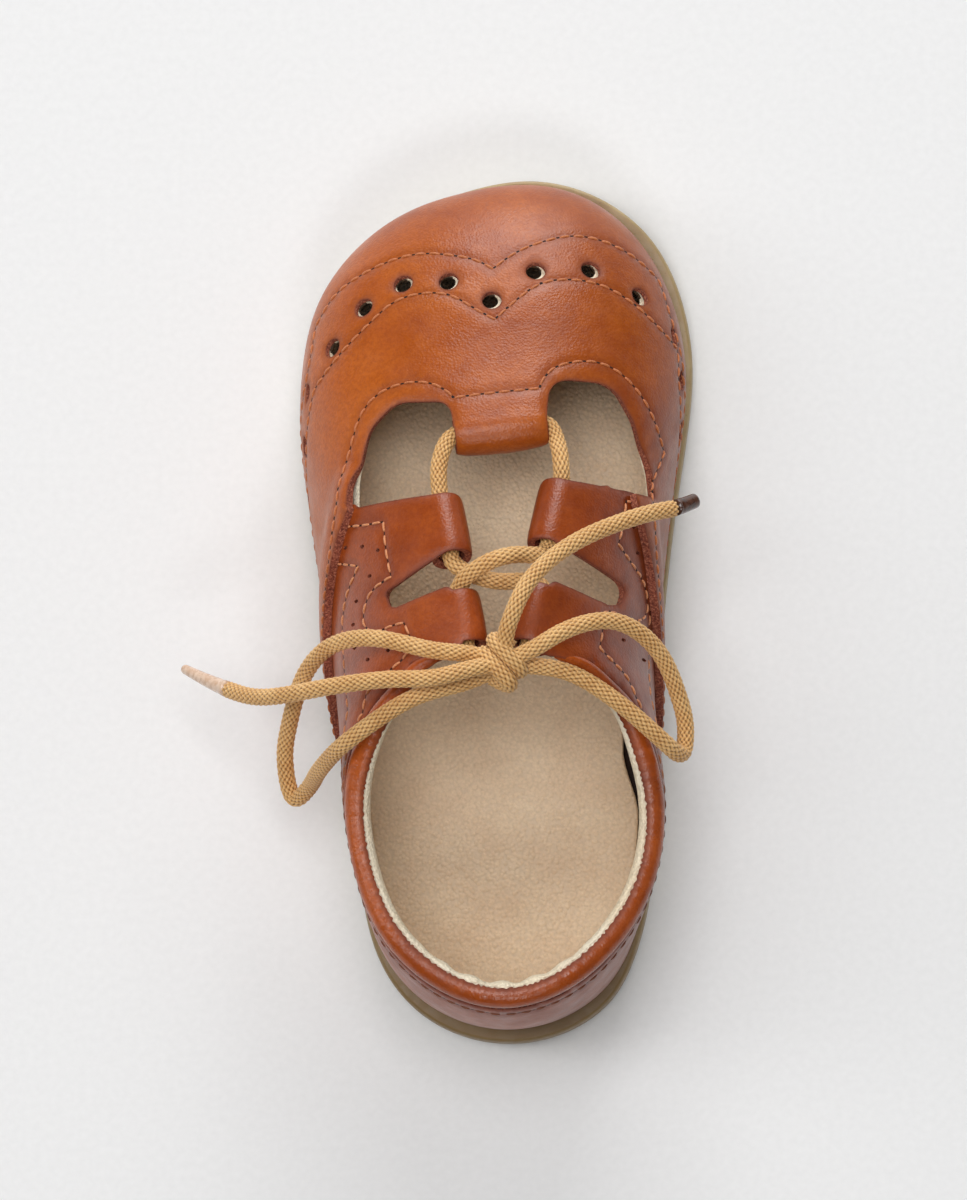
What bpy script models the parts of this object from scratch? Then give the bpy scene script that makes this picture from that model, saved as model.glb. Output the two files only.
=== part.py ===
"""A child's T-bar lace-up brogue for the left foot, standing empty on its sole.

The origin is on the floor under the middle of the shoe. +Y runs from heel to toe, +X to the inner
side of the foot and +Z up. Sizes and tables are in millimetres; MM turns them into metres where a
mesh is made.
"""

import math
from collections import namedtuple

import bmesh
import bpy
import numpy as np
from mathutils import Vector
from mathutils.geometry import delaunay_2d_cdt

MM = 0.001
COLLECTION = "left_brogue"

# Driving sizes
LENGTH = 140.0          # outsole, heel to toe
BALL_WIDTH = 63.0       # outsole, across the ball
INSTEP = 49.0           # inside of the upper, floor to ridge at the lower straps
SOLE_HEEL = 8.0         # thickness of the sole under the heel
SOLE_BALL = 6.0         # and under the ball
ARCH = 1.2              # how far the waist clears the floor
ARCH_RAMP = 12.0        # length of the arch's rise at each end
TOE_SPRING = 3.2
HEEL_SPRING = 0.5       # how far the very back of the heel clears the floor
HEEL_REST = (-64.0, -30.0)  # y where the sole rests on the floor under the heel
BALL_REST = (4.0, 42.0)     # and under the ball
THINNING = (-40.0, 20.0)    # y where the sole goes from its heel's to its ball's thickness
HEEL_BULGE = 0.7        # how far the back of the heel stands out low down
HEEL_LEAN = 2.4         # and how far it leans in near the collar
WALL = 1.5              # leather with its lining
VAMP_LAP = 1.6          # how far the vamp's raw edge stands above the quarters
GAP = 0.3               # between pieces
INSOLE = 2.0
ROLL = 2.1              # half the thickness of the padded collar
ROLL_IN = 1.1           # how far its middle stands inside the wall's
LACE = 3.0              # diameter
TUNNEL = LACE / 2 + 0.35
FOLD_TURN = math.radians(270)
HOLE = 2.7              # diameter of a punched hole
AGLET = 2.6             # diameter
SPACING = 4.8           # of the points that the leather is shaped on

# Outline of the outsole. along is the share of LENGTH from the heel, lateral and medial are shares of
# BALL_WIDTH from the middle, and the lips are what the sole shows outside the upper.
Outline = namedtuple("Outline", "along lateral medial lateral_lip medial_lip")
OUTLINE = [
    Outline(0.000, 0.019, 0.019, 2.2, 2.2),
    Outline(0.021, -0.159, 0.204, 2.1, 2.1),
    Outline(0.053, -0.249, 0.290, 1.8, 1.8),
    Outline(0.100, -0.314, 0.345, 1.2, 1.1),
    Outline(0.179, -0.357, 0.388, 0.8, 0.8),
    Outline(0.286, -0.388, 0.403, 0.7, 0.7),
    Outline(0.393, -0.423, 0.407, 0.6, 0.7),
    Outline(0.500, -0.458, 0.424, 0.5, 0.7),
    Outline(0.607, -0.487, 0.451, 0.2, 0.8),
    Outline(0.700, -0.504, 0.482, -0.2, 1.0),
    Outline(0.786, -0.496, 0.498, -0.4, 1.4),
    Outline(0.850, -0.462, 0.478, -0.5, 1.8),
    Outline(0.898, -0.400, 0.440, -0.4, 2.1),
    Outline(0.936, -0.320, 0.386, -0.1, 2.2),
    Outline(0.964, -0.230, 0.318, 0.3, 1.9),
    Outline(0.986, -0.104, 0.229, 0.7, 1.5),
    Outline(1.000, 0.075, 0.075, 1.1, 1.1),
]

# Cross sections of the last. crown is the ridge as a share of INSTEP (behind the straps, where the shoe
# is open, it only steers the walls), square is the power of the section's curve, swell is how far the
# wall stands out low down and the flares are how far it stands out, or in, at the collar.
Section = namedtuple("Section", "y ridge_x crown square swell lateral_flare medial_flare")
LAST = [
    Section(-70, 1.3, 1.38, 3.6, 0.5, -1.4, -1.0),
    Section(-60, 1.3, 1.35, 3.6, 0.6, -1.7, -1.3),
    Section(-50, 1.3, 1.28, 3.5, 0.7, -0.2, 1.4),
    Section(-36, 1.3, 1.15, 3.3, 0.8, 1.5, 3.4),
    Section(-22, 1.2, 1.05, 2.6, 0.8, 1.0, 2.3),
    Section(-8, 1.0, 1.00, 2.2, 0.8, 0.0, 0.0),
    Section(8, 1.0, 0.905, 2.15, 1.1, 0.0, 0.0),
    Section(22, 1.1, 0.785, 2.2, 1.5, 0.0, 0.0),
    Section(36, 1.4, 0.670, 2.3, 1.6, 0.0, 0.0),
    Section(50, 2.2, 0.575, 2.35, 1.0, 0.0, 0.0),
    Section(70, 4.6, 0.500, 2.4, 0.6, 0.0, 0.0),
]
TOE_START = 43.0        # where the toe begins to round down
TOE_POWER = 2.3

# Line of the collar roll's middle on each side of the heel opening
Collar = namedtuple("Collar", "y lateral_z medial_z radius")
COLLAR = [
    Collar(-70, 43.0, 43.0, ROLL),
    Collar(-64, 42.3, 42.3, ROLL),
    Collar(-54, 40.2, 40.0, ROLL),
    Collar(-42, 38.2, 37.8, ROLL),
    Collar(-32, 38.3, 37.5, ROLL),
    Collar(-25, 40.4, 38.2, ROLL),
    Collar(-20, 43.4, 39.6, 0.9 * ROLL),
    Collar(-16, 46.0, 43.4, 0.7 * ROLL),
    Collar(-13, 47.6, 47.0, 0.45 * ROLL),
]

# The five ends that are turned under into lace tunnels, as the two ends of each fold seen from above
Fold = namedtuple("Fold", "name x0 y0 x1 y1 inward_x inward_y")
FOLDS = {
    fold.name: fold
    for fold in (
        Fold("bar", 7.8, 27.2, -5.6, 25.6, 0, -1),
        Fold("upper_left", -8.6, 13.9, -6.9, 5.2, 1, 0),
        Fold("lower_left", -5.7, -1.8, -4.2, -9.3, 1, 0),
        Fold("upper_right", 11.3, 16.3, 9.4, 7.0, -1, 0),
        Fold("lower_right", 8.5, -0.9, 6.3, -9.3, -1, 0),
    )
}

# Corners of the cut edge between the folds, seen from above, from the bar back to the collar
Corner = namedtuple("Corner", "x y radius")
LATERAL_WINDOW = [
    Corner(-6.6, 30.0, 2.8), Corner(-15.2, 30.3, 4.2), Corner(-19.4, 26.1, 6.0), Corner(-21.2, 17.5, 10.0),
    Corner(-21.2, 12.9, 0.7),
]
LATERAL_SLOT = [
    Corner(-8.4, 4.2, 0.8), Corner(-16.4, -0.9, 1.6), Corner(-15.3, -4.3, 1.4), Corner(-6.6, -1.2, 0.6),
]
LATERAL_REAR = [Corner(-5.2, -11.4, 0.8), Corner(-8.8, -12.2, 1.5), Corner(-12.1, -12.6, 0.0)]
MEDIAL_WINDOW = [
    Corner(8.3, 33.8, 3.4), Corner(18.1, 33.5, 5.0), Corner(21.4, 27.7, 7.0), Corner(23.8, 18.6, 9.0),
    Corner(24.0, 15.1, 0.7),
]
MEDIAL_SLOT = [
    Corner(10.6, 6.1, 0.8), Corner(20.0, 0.8, 2.2), Corner(18.8, -3.9, 1.9), Corner(9.4, -0.3, 0.6),
]
MEDIAL_REAR = [Corner(7.5, -11.4, 0.8), Corner(11.2, -12.1, 1.5), Corner(15.2, -12.4, 0.0)]

# Where the vamp's raw edge crosses the quarters: from the window's corner down and back to the sole.
# Rows are the level v on the last and y.
VAMP_EDGE = [
    (1.0, 19.0), (0.62, 15.5), (0.50, 13.0), (0.36, 4.0), (0.20, -6.5), (0.09, -15.0), (0.0, -22.0),
]

# Punched holes along the wing: seen from above, and low on the two sides as (side, y, v)
HOLES = [
    (-29.6, 33.7), (-25.2, 40.2), (-20.4, 46.3), (-14.3, 49.8), (-7.2, 49.9), (-0.4, 46.6),
    (6.4, 51.5), (14.8, 52.0), (22.2, 48.2), (27.4, 42.7),
]
SIDE_HOLES = [(-1, 25.6, 0.2), (-1, 17.6, 0.115), (1, 36.0, 0.205), (1, 28.4, 0.135), (1, 20.6, 0.07)]

# The knot of the bow
KNOT = Vector((1.8, -12.8, 51.0))
KNOT_SIZE = (8.4, 6.0, 5.6)
KNOT_TURN = math.radians(-18)

# Routes of the bow, from the knot outwards
BOW_LEFT = [
    (-3.6, -11.6, 52.0), (-8.5, -11.2, 53.4), (-14.5, -9.7, 52.0), (-20.3, -8.7, 48.0), (-25.7, -9.6, 42.0),
    (-30.2, -13.8, 34.0), (-32.9, -20.9, 26.0), (-33.6, -27.0, 20.8), (-32.3, -31.4, 18.9),
    (-30.2, -30.4, 22.0), (-28.2, -28.6, 30.0), (-25.6, -26.6, 38.8), (-22.6, -24.6, 44.8),
    (-18.4, -21.8, 47.4), (-10.5, -17.6, 49.4), (-3.4, -15.6, 49.6),
]
BOW_RIGHT = [
    (6.6, -11.0, 53.0), (10.2, -8.9, 53.6), (14.6, -7.0, 52.6), (19.0, -6.4, 50.2), (23.1, -7.9, 47.0),
    (26.8, -11.7, 43.0), (29.1, -17.0, 39.4), (30.2, -22.2, 37.0), (29.8, -25.7, 37.4),
    (27.7, -25.3, 41.6), (25.2, -23.2, 44.0), (21.6, -20.2, 46.2), (17.0, -16.9, 48.2), (11.6, -14.2, 49.8),
    (7.2, -13.4, 50.2),
]
END_LEFT = [
    (-2.6, -14.0, 53.8), (-8.0, -15.4, 54.4), (-14.5, -15.6, 53.0), (-20.3, -15.8, 50.2),
    (-27.3, -16.4, 45.4), (-33.0, -16.9, 40.2), (-38.4, -16.4, 33.6), (-42.2, -14.9, 28.4),
]
END_RIGHT = [
    (2.6, -8.2, 53.6), (3.6, -5.4, 54.6), (5.4, -1.6, 54.4), (8.6, 2.4, 52.6), (13.5, 6.2, 50.0),
    (19.3, 9.2, 46.6), (24.9, 11.4, 42.8), (28.4, 12.4, 40.0),
]
AGLET_LEFT = [(-42.6, -14.7, 28.0), (-46.3, -12.8, 24.0), (-50.1, -10.6, 19.9)]
AGLET_RIGHT = [(28.8, 12.6, 39.7), (30.4, 13.3, 38.2), (31.9, 14.1, 36.8)]

# Base colour, roughness
MATERIALS = {
    "cognac_leather": ((0.42, 0.14, 0.035), 0.42),
    "collar_leather": ((0.36, 0.11, 0.03), 0.45),
    "sock_leather": ((0.50, 0.41, 0.28), 0.7),
    "sole_rubber": ((0.30, 0.20, 0.06), 0.5),
    "braided_lace": ((0.50, 0.29, 0.09), 0.75),
    "clear_aglet": ((0.62, 0.44, 0.22), 0.3),
    "brown_aglet": ((0.13, 0.06, 0.025), 0.35),
}


def spline(knots, values):
    """A smooth function through the rows of a table: a natural cubic spline."""
    knots, values = np.asarray(knots, float), np.asarray(values, float)
    step = np.diff(knots)
    matrix, right = np.eye(len(knots)), np.zeros_like(values)
    for i in range(1, len(knots) - 1):
        matrix[i, i - 1 : i + 2] = step[i - 1], 2 * (step[i - 1] + step[i]), step[i]
        right[i] = 6 * ((values[i + 1] - values[i]) / step[i] - (values[i] - values[i - 1]) / step[i - 1])
    bend = np.linalg.solve(matrix, right)

    def at(t):
        t = np.clip(np.asarray(t, float), knots[0], knots[-1])
        i = np.clip(np.searchsorted(knots, t, side="right") - 1, 0, len(knots) - 2)
        after, before, h = t - knots[i], knots[i + 1] - t, step[i]
        if values.ndim > 1:
            after, before, h = after[..., None], before[..., None], h[..., None]
        return (
            (bend[i] * before**3 + bend[i + 1] * after**3) / (6 * h)
            + (values[i] / h - bend[i] * h / 6) * before
            + (values[i + 1] / h - bend[i + 1] * h / 6) * after
        )

    return at


def smooth_route(points, spacing):
    """Points every spacing along a smooth curve through the given ones."""
    points = np.asarray(points, float)
    chord = np.concatenate([[0], np.cumsum(np.linalg.norm(np.diff(points, axis=0), axis=1))])
    dense = spline(chord, points)(np.linspace(0, chord[-1], 40 * len(points)))
    along = np.concatenate([[0], np.cumsum(np.linalg.norm(np.diff(dense, axis=0), axis=1))])
    count = max(2, round(along[-1] / spacing) + 1)
    even = np.linspace(0, along[-1], count)
    return np.stack([np.interp(even, along, dense[:, i]) for i in range(points.shape[1])], axis=1)


def ease(t):
    t = np.clip(t, 0, 1)
    return t * t * (3 - 2 * t)


def sole_bottom(y):
    """Flat under the heel and the ball, with an arch between them and the toe lifted."""
    y = np.asarray(y, float)
    arch = ARCH * ease((y - HEEL_REST[1]) / ARCH_RAMP) * ease((BALL_REST[0] - y) / ARCH_RAMP)
    heel = HEEL_SPRING * np.clip((HEEL_REST[0] - y) / (LENGTH / 2 + HEEL_REST[0]), 0, 1) ** 2
    return arch + heel + toe_lift(y)


def toe_lift(y):
    return TOE_SPRING * np.clip((y - BALL_REST[1]) / (LENGTH / 2 - BALL_REST[1]), 0, 1) ** 2


def sole_top(y):
    y = np.asarray(y, float)
    thinner = ease((y - THINNING[0]) / (THINNING[1] - THINNING[0]))
    return SOLE_HEEL + (SOLE_BALL - SOLE_HEEL) * thinner + toe_lift(y)


def outline_of_sole(count=2400):
    """The sole's outline from the heel round the medial side, and its lip at each point."""
    medial = [((row.along - 0.5) * LENGTH, row.medial * BALL_WIDTH, row.medial_lip) for row in OUTLINE]
    lateral = [((row.along - 0.5) * LENGTH, row.lateral * BALL_WIDTH, row.lateral_lip) for row in OUTLINE]
    ring = np.array(medial + lateral[-2:0:-1])[:, [1, 0, 2]]
    wrapped = np.concatenate([ring[-4:], ring, ring[:5]])
    chord = np.concatenate([[0], np.cumsum(np.linalg.norm(np.diff(wrapped[:, :2], axis=0), axis=1))])
    curve = spline(chord, wrapped)(np.linspace(chord[4], chord[4 + len(ring)], count, endpoint=False))
    low, high = curve[:, :2].min(axis=0), curve[:, :2].max(axis=0)
    curve[:, :2] = (curve[:, :2] - (low + high) / 2) * np.array([BALL_WIDTH, LENGTH]) / (high - low)
    return curve[:, :2], curve[:, 2]


def outward(ring):
    along = np.roll(ring, -1, axis=0) - np.roll(ring, 1, axis=0)
    normal = np.stack([along[:, 1], -along[:, 0]], axis=1)
    return normal / np.linalg.norm(normal, axis=1, keepdims=True)


class Side:
    """One side of a closed outline, from heel to toe, looked up by y or by length along it."""

    def __init__(self, points, normals):
        self.points, self.normals = points, normals
        self.along = np.concatenate([[0], np.cumsum(np.linalg.norm(np.diff(points, axis=0), axis=1))])
        self.length = self.along[-1]

    def y_at(self, s):
        return np.interp(s, self.along, self.points[:, 1])

    def s_at(self, y):
        return np.interp(y, self.points[:, 1], self.along)

    def x_at(self, y):
        return np.interp(y, self.points[:, 1], self.points[:, 0])

    def normal_at(self, s):
        return np.stack([np.interp(s, self.along, self.normals[:, i]) for i in (0, 1)], axis=-1)


def two_sides(ring):
    normals = outward(ring)
    heel = ring[:, 1].argmin()
    ring, normals = np.roll(ring, -heel, axis=0), np.roll(normals, -heel, axis=0)
    toe = ring[:, 1].argmax()
    back = np.concatenate([np.arange(toe, len(ring)), [0]])[::-1]
    return {1: Side(ring[: toe + 1], normals[: toe + 1]), -1: Side(ring[back], normals[back])}


class Last:
    """The form that the upper is pulled over. A place on it is (s, v): s is the length along the feather
    edge from the back of the heel, positive on the medial side, and v runs from 0 there to 1 on the ridge."""

    def __init__(self):
        ring, lip = outline_of_sole()
        self.sole = two_sides(ring)
        self.feather = two_sides(ring - outward(ring) * (lip + WALL)[:, None])
        rows = np.array(LAST)
        names = Section._fields[1:]
        self.table = {name: spline(rows[:, 0], rows[:, i + 1]) for i, name in enumerate(names)}
        self.heel, self.toe = self.feather[1].points[0, 1], self.feather[1].points[-1, 1]
        y = self.heel + (self.toe - self.heel) * (1 - np.cos(np.linspace(0, math.pi, 800))) / 2
        _, top = self.floor_and_top(y)
        ridge = np.concatenate([[0], np.cumsum(np.hypot(np.diff(y), np.diff(top)))])
        self.ridge_length = lambda at: np.interp(at, y, ridge) - np.interp(0, y, ridge)

    def floor_and_top(self, y):
        floor = np.maximum(sole_top(y), sole_top(y + 2)) + GAP
        share = np.clip((y - TOE_START) / (self.toe - TOE_START), 0, 1)
        rise = (self.table["crown"](y) * INSTEP - floor) * (1 - share**TOE_POWER) ** (1 / TOE_POWER)
        return floor, floor + rise

    def side(self, s, lookup):
        """Calls lookup on the Side that each s belongs to."""
        medial, lateral = lookup(self.feather[1], np.abs(s)), lookup(self.feather[-1], np.abs(s))
        return np.where((s >= 0).reshape(s.shape + (1,) * (medial.ndim - s.ndim)), medial, lateral)

    def place(self, s, v):
        """Points of the last at (s, v)."""
        s, v = np.broadcast_arrays(np.asarray(s, float), np.asarray(v, float))
        y = self.side(s, lambda chain, at: chain.y_at(at))
        hand = np.where(s >= 0, 1.0, -1.0)
        floor, top = self.floor_and_top(y)
        turn, power = v * math.pi / 2, 2 / self.table["square"](y)
        height = np.sin(turn) ** power
        ridge = self.table["ridge_x"](y)
        edge = self.side(s, lambda chain, at: np.interp(at, chain.along, chain.points[:, 0]))
        half = hand * (edge - ridge)
        wide = np.maximum(half, 0)
        swell = self.table["swell"](y) * wide / (wide + 4) * np.sin(math.pi * np.clip(v / 0.8, 0, 1))
        flare = np.where(hand > 0, self.table["medial_flare"](y), self.table["lateral_flare"](y))
        flare = flare * ease(height / 0.7) * wide / (wide + 2)
        x = ridge + hand * ((half + swell) * np.maximum(np.cos(turn), 0) ** power + flare)
        z = floor + (top - floor) * height
        back = ease((-40 - y) / 28)
        bulge = HEEL_BULGE * np.sin(math.pi * np.clip((z - 8) / 34, 0, 1))
        lean = HEEL_LEAN * np.clip((z - 24) / 22, 0, 2) ** 2
        return np.stack([x, y + back * (lean - bulge), z], axis=-1)

    def normal(self, s, v):
        """Outward normals, from small steps along s and v."""
        s, v = np.broadcast_arrays(np.asarray(s, float), np.asarray(v, float))
        longest = self.side(s, lambda chain, at: np.full(at.shape, chain.length))
        low, high = np.clip(s - 0.15, -longest, longest), np.clip(s + 0.15, -longest, longest)
        low, high = np.where((s > 0) & (low < 0), 0, low), np.where((s < 0) & (high > 0), -1e-9, high)
        across = self.place(high, v) - self.place(low, v)
        up = self.place(s, np.clip(v + 0.004, 0, 1)) - self.place(s, np.clip(v - 0.004, 0, 1))
        normal = np.cross(across, up)
        return normal / np.maximum(np.linalg.norm(normal, axis=-1, keepdims=True), 1e-12)

    def pattern(self, s, v):
        """The place laid flat: walls swung outwards from the ridge, so that the upper lies in one sheet."""
        s, v = np.broadcast_arrays(np.asarray(s, float), np.asarray(v, float))
        y = self.side(s, lambda chain, at: chain.y_at(at))
        point = self.place(s, v)
        push = self.floor_and_top(y)[1] - point[..., 2]
        out = self.side(s, lambda chain, at: chain.normal_at(at)) * push[..., None]
        return np.stack([point[..., 0] + out[..., 0], self.ridge_length(y) + out[..., 1]], axis=-1)

    def seen_from_above(self, x, y):
        """The place whose point has this x and y, ahead of the heel."""
        hand = 1 if x >= self.table["ridge_x"](y) else -1
        s = hand * float(self.feather[hand].s_at(y))
        v = np.linspace(0.25, 1, 400)
        reach = hand * self.place(np.full_like(v, s), v)[:, 0]
        return s, float(np.interp(-hand * x, -reach, v))

    def at_height(self, s, z):
        """The place above s at this height."""
        s, z = np.broadcast_arrays(np.asarray(s, float), np.asarray(z, float))
        y = self.side(s, lambda chain, at: chain.y_at(at))
        floor, top = self.floor_and_top(y)
        share = np.clip((z - floor) / (top - floor), 0, 1)
        return np.arcsin(share ** (self.table["square"](y) / 2)) / (math.pi / 2)


LAST_FORM = Last()


def rounded(corners, start, end, spacing=3.6):
    """Points from start to end past the corners, each rounded by its radius."""
    path = [np.array(start, float)]
    stops = [np.array([corner.x, corner.y]) for corner in corners] + [np.array(end, float)]
    for i, corner in enumerate(corners):
        here = stops[i]
        before = path[-1] - here if i == 0 else stops[i - 1] - here
        after = stops[i + 1] - here
        before, after = before / np.linalg.norm(before), after / np.linalg.norm(after)
        half = math.acos(np.clip(before @ after, -1, 1)) / 2
        cut = corner.radius / math.tan(half)
        centre = here + (before + after) / np.linalg.norm(before + after) * corner.radius / math.sin(half)
        first, last = here + before * cut, here + after * cut
        count = max(2, round((math.pi - 2 * half) / math.radians(30)))
        for j in range(count + 1):
            spoke = (first - centre) * (1 - j / count) + (last - centre) * (j / count)
            path.append(centre + spoke / np.linalg.norm(spoke) * corner.radius)
    path.append(stops[-1])
    return spaced(path, spacing)


def spaced(path, spacing):
    """The same path with long steps divided."""
    points = [path[0]]
    for a, b in zip(path, path[1:]):
        count = max(1, round(float(np.linalg.norm(b - a)) / spacing))
        points += [a + (b - a) * (j + 1) / count for j in range(count)]
    return points


def places_above(points):
    return [LAST_FORM.seen_from_above(x, y) for x, y in points]


def collar_line(hand, spacing=3.0):
    """Places on the wall beside the roll, from its front end to the back of the heel, with its radii."""
    rows = np.array(COLLAR)
    side = LAST_FORM.feather[hand]
    first = float(side.s_at(COLLAR[-1].y))
    s = np.linspace(first, 0, round(first / spacing) + 1)
    y = side.y_at(s)
    z = spline(rows[:, 0], rows[:, 2 if hand > 0 else 1])(y)
    v = LAST_FORM.at_height(hand * np.maximum(s, 1e-6), z)
    return np.stack([hand * s, v], axis=1), spline(rows[:, 0], rows[:, 3])(y)


def collar_path(spacing=3.0):
    """The roll from its lateral end round the heel to its medial end: its middle line and radii."""
    lateral, lateral_radius = collar_line(-1, spacing)
    medial, medial_radius = collar_line(1, spacing)
    places = np.concatenate([lateral[:-1], medial[::-1]])
    points = LAST_FORM.place(places[:, 0], places[:, 1])
    out = WALL / 2 - ROLL_IN * ease((COLLAR[-2].y - points[:, 1]) / 10)
    points += LAST_FORM.normal(places[:, 0], places[:, 1]) * out[:, None]
    return points, np.concatenate([lateral_radius[:-1], medial_radius[::-1]])


def edge_under_collar(hand):
    """The quarter's top edge: the highest places on the wall that stay clear of the roll."""
    path, radius = collar_path(0.8)
    places, _ = collar_line(hand)
    edge = []
    for s, top in places[1:]:
        s = s if abs(s) > 1e-6 else hand * 1e-6
        v = np.linspace(max(0.05, top - 0.5), top, 160)
        wall = LAST_FORM.place(np.full_like(v, s), v)
        wall += LAST_FORM.normal(np.full_like(v, s), v) * WALL / 2
        clear = (np.linalg.norm(wall[:, None] - path[None], axis=2) - radius - GAP - 0.1).min(axis=1)
        edge.append((s, float(v[np.flatnonzero(clear > 0).max()])))
    return edge


def cut_edge():
    """The edge of the whole opening as places, and for each fold the numbers of its places in that list."""
    edge, folded = [], {}

    def cut(corners, start, end):
        edge.extend(places_above(rounded(corners, start, end)[1:-1]))

    def fold(name, backwards=False):
        row = FOLDS[name]
        ends = [np.array([row.x0, row.y0]), np.array([row.x1, row.y1])]
        line = spaced(ends[::-1] if backwards else ends, 3.2)
        folded[name] = list(range(len(edge), len(edge) + len(line)))
        edge.extend(places_above(line))
        return line

    bar = fold("bar")
    upper = FOLDS["upper_left"]
    cut(LATERAL_WINDOW, bar[-1], (upper.x0, upper.y0))
    line = fold("upper_left")
    lower = FOLDS["lower_left"]
    cut(LATERAL_SLOT, line[-1], (lower.x0, lower.y0))
    line = fold("lower_left")
    edge.extend(places_above(rounded(LATERAL_REAR[:-1], line[-1], LATERAL_REAR[-1][:2])[1:]))
    edge += edge_under_collar(-1)
    edge += edge_under_collar(1)[-2::-1]
    upper, lower = FOLDS["upper_right"], FOLDS["lower_right"]
    edge.extend(places_above(rounded(MEDIAL_REAR[:-1], (lower.x1, lower.y1), MEDIAL_REAR[-1][:2])[:0:-1]))
    fold("lower_right", backwards=True)
    edge.extend(places_above(rounded(MEDIAL_SLOT, (upper.x1, upper.y1), (lower.x0, lower.y0))[-2:0:-1]))
    fold("upper_right", backwards=True)
    edge.extend(places_above(rounded(MEDIAL_WINDOW, bar[0], (upper.x0, upper.y0))[-2:0:-1]))
    return edge, folded


def hole_edge(x, y, count=10):
    """A round hole punched square to the leather."""
    s, v = LAST_FORM.seen_from_above(x, y)
    centre, normal = LAST_FORM.place(s, v), LAST_FORM.normal(s, v)
    along = np.cross((1.0, 0, 0), normal)
    along /= np.linalg.norm(along)
    across = np.cross(along, normal)
    turns = np.arange(count) / count * 2 * math.pi
    ring = centre + HOLE / 2 * (np.cos(turns)[:, None] * along + np.sin(turns)[:, None] * across)
    return places_above(ring[:, :2])


def side_hole(hand, y, v, count=10):
    """A round hole punched low on one side."""
    s = float(LAST_FORM.feather[hand].s_at(y))
    step = 0.02
    rise = LAST_FORM.place(hand * s, v + step) - LAST_FORM.place(hand * s, v - step)
    level = np.linalg.norm(rise) / (2 * step)
    turns = np.arange(count) / count * 2 * math.pi
    return [(hand * (s + HOLE / 2 * math.cos(t)), v + HOLE / 2 * math.sin(t) / level) for t in turns]


def vamp_edge(hand, back=0.0):
    """The vamp's raw edge from the window's corner to the sole, or a line a little way behind it."""
    rows = np.array(VAMP_EDGE[2:])
    v = np.linspace(rows[0, 0], 0, 10)
    y = np.interp(-v, -rows[:, 0], rows[:, 1]) - back
    corner = (LATERAL_WINDOW if hand < 0 else MEDIAL_WINDOW)[-1]
    y += (corner.y - rows[0, 1] - 0.2) * (v / rows[0, 0])
    return list(zip(hand * LAST_FORM.feather[hand].s_at(y), v))


def inside(points, ring):
    """Which points lie inside a closed ring of points."""
    x, y = points[:, 0, None], points[:, 1, None]
    a, b = ring, np.roll(ring, -1, axis=0)
    crosses = (a[:, 1] > y) != (b[:, 1] > y)
    slope = (b[:, 0] - a[:, 0]) / np.where(b[:, 1] == a[:, 1], 1e-12, b[:, 1] - a[:, 1])
    return (crosses & (x < a[:, 0] + (y - a[:, 1]) * slope)).sum(axis=1) % 2 == 1


def shaping_places(spacing):
    """Places all over the last, about spacing apart."""
    places = []
    for hand, side in LAST_FORM.feather.items():
        for s in np.linspace(0, side.length, round(side.length / spacing) + 1)[: -1]:
            if hand < 0 and s == 0:
                continue
            v = np.linspace(0, 1, 200)
            arc = LAST_FORM.place(np.full_like(v, hand * s), v)
            arc = np.concatenate([[0], np.cumsum(np.linalg.norm(np.diff(arc, axis=0), axis=1))])
            levels = np.interp(np.linspace(0, arc[-1], max(2, round(arc[-1] / spacing)) + 1), arc, v)
            places += [(hand * s, level) for level in levels[1 : -1 if hand < 0 else None]]
    return places


def lay_out_upper():
    """Triangles of the upper's leather, cut flat and then placed on the last: places, faces, folds."""
    opening, folded = cut_edge()
    medial, lateral = LAST_FORM.feather[1].length, LAST_FORM.feather[-1].length
    feather = [(s, 0.0) for s in np.linspace(0, medial, round(medial / 4.2) + 1)]
    feather += [(-s, 0.0) for s in np.linspace(lateral, 0, round(lateral / 4.2) + 1)[1:-1]]
    rings = [feather, opening] + [hole_edge(*hole) for hole in HOLES]
    rings += [side_hole(*hole) for hole in SIDE_HOLES]
    laps = [vamp_edge(hand, back)[:-1] for hand in (1, -1) for back in (0.0, 0.5)]
    places, edges = [], []
    for line, closed in [(ring, True) for ring in rings] + [(lap, False) for lap in laps]:
        first = len(places)
        places += line
        edges += [(first + i, first + i + 1) for i in range(len(line) - 1)]
        edges += [(len(places) - 1, first)] if closed else []
    flat_rings = [LAST_FORM.pattern(*np.array(ring).T) for ring in rings]
    lines = LAST_FORM.pattern(*np.array(places).T)
    grid = shaping_places(SPACING)
    for place, flat in zip(grid, LAST_FORM.pattern(*np.array(grid).T)):
        if np.linalg.norm(lines - flat, axis=1).min() > 0.5 * SPACING:
            places.append(place)
            lines = np.concatenate([lines, flat[None]])
    sheet = delaunay_2d_cdt([Vector(point) for point in lines], edges, [], 0, 1e-6)
    _, _, triangles, came_from = sheet[:4]
    triangles = np.array([[came_from[i][0] for i in face] for face in triangles])
    middles = lines[triangles].mean(axis=1)
    leather = inside(middles, flat_rings[0])
    for ring in flat_rings[1:]:
        leather &= ~inside(middles, ring)
    folds = {name: [len(feather) + i for i in numbers] for name, numbers in folded.items()}
    return np.array(places), triangles[leather], folds


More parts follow.
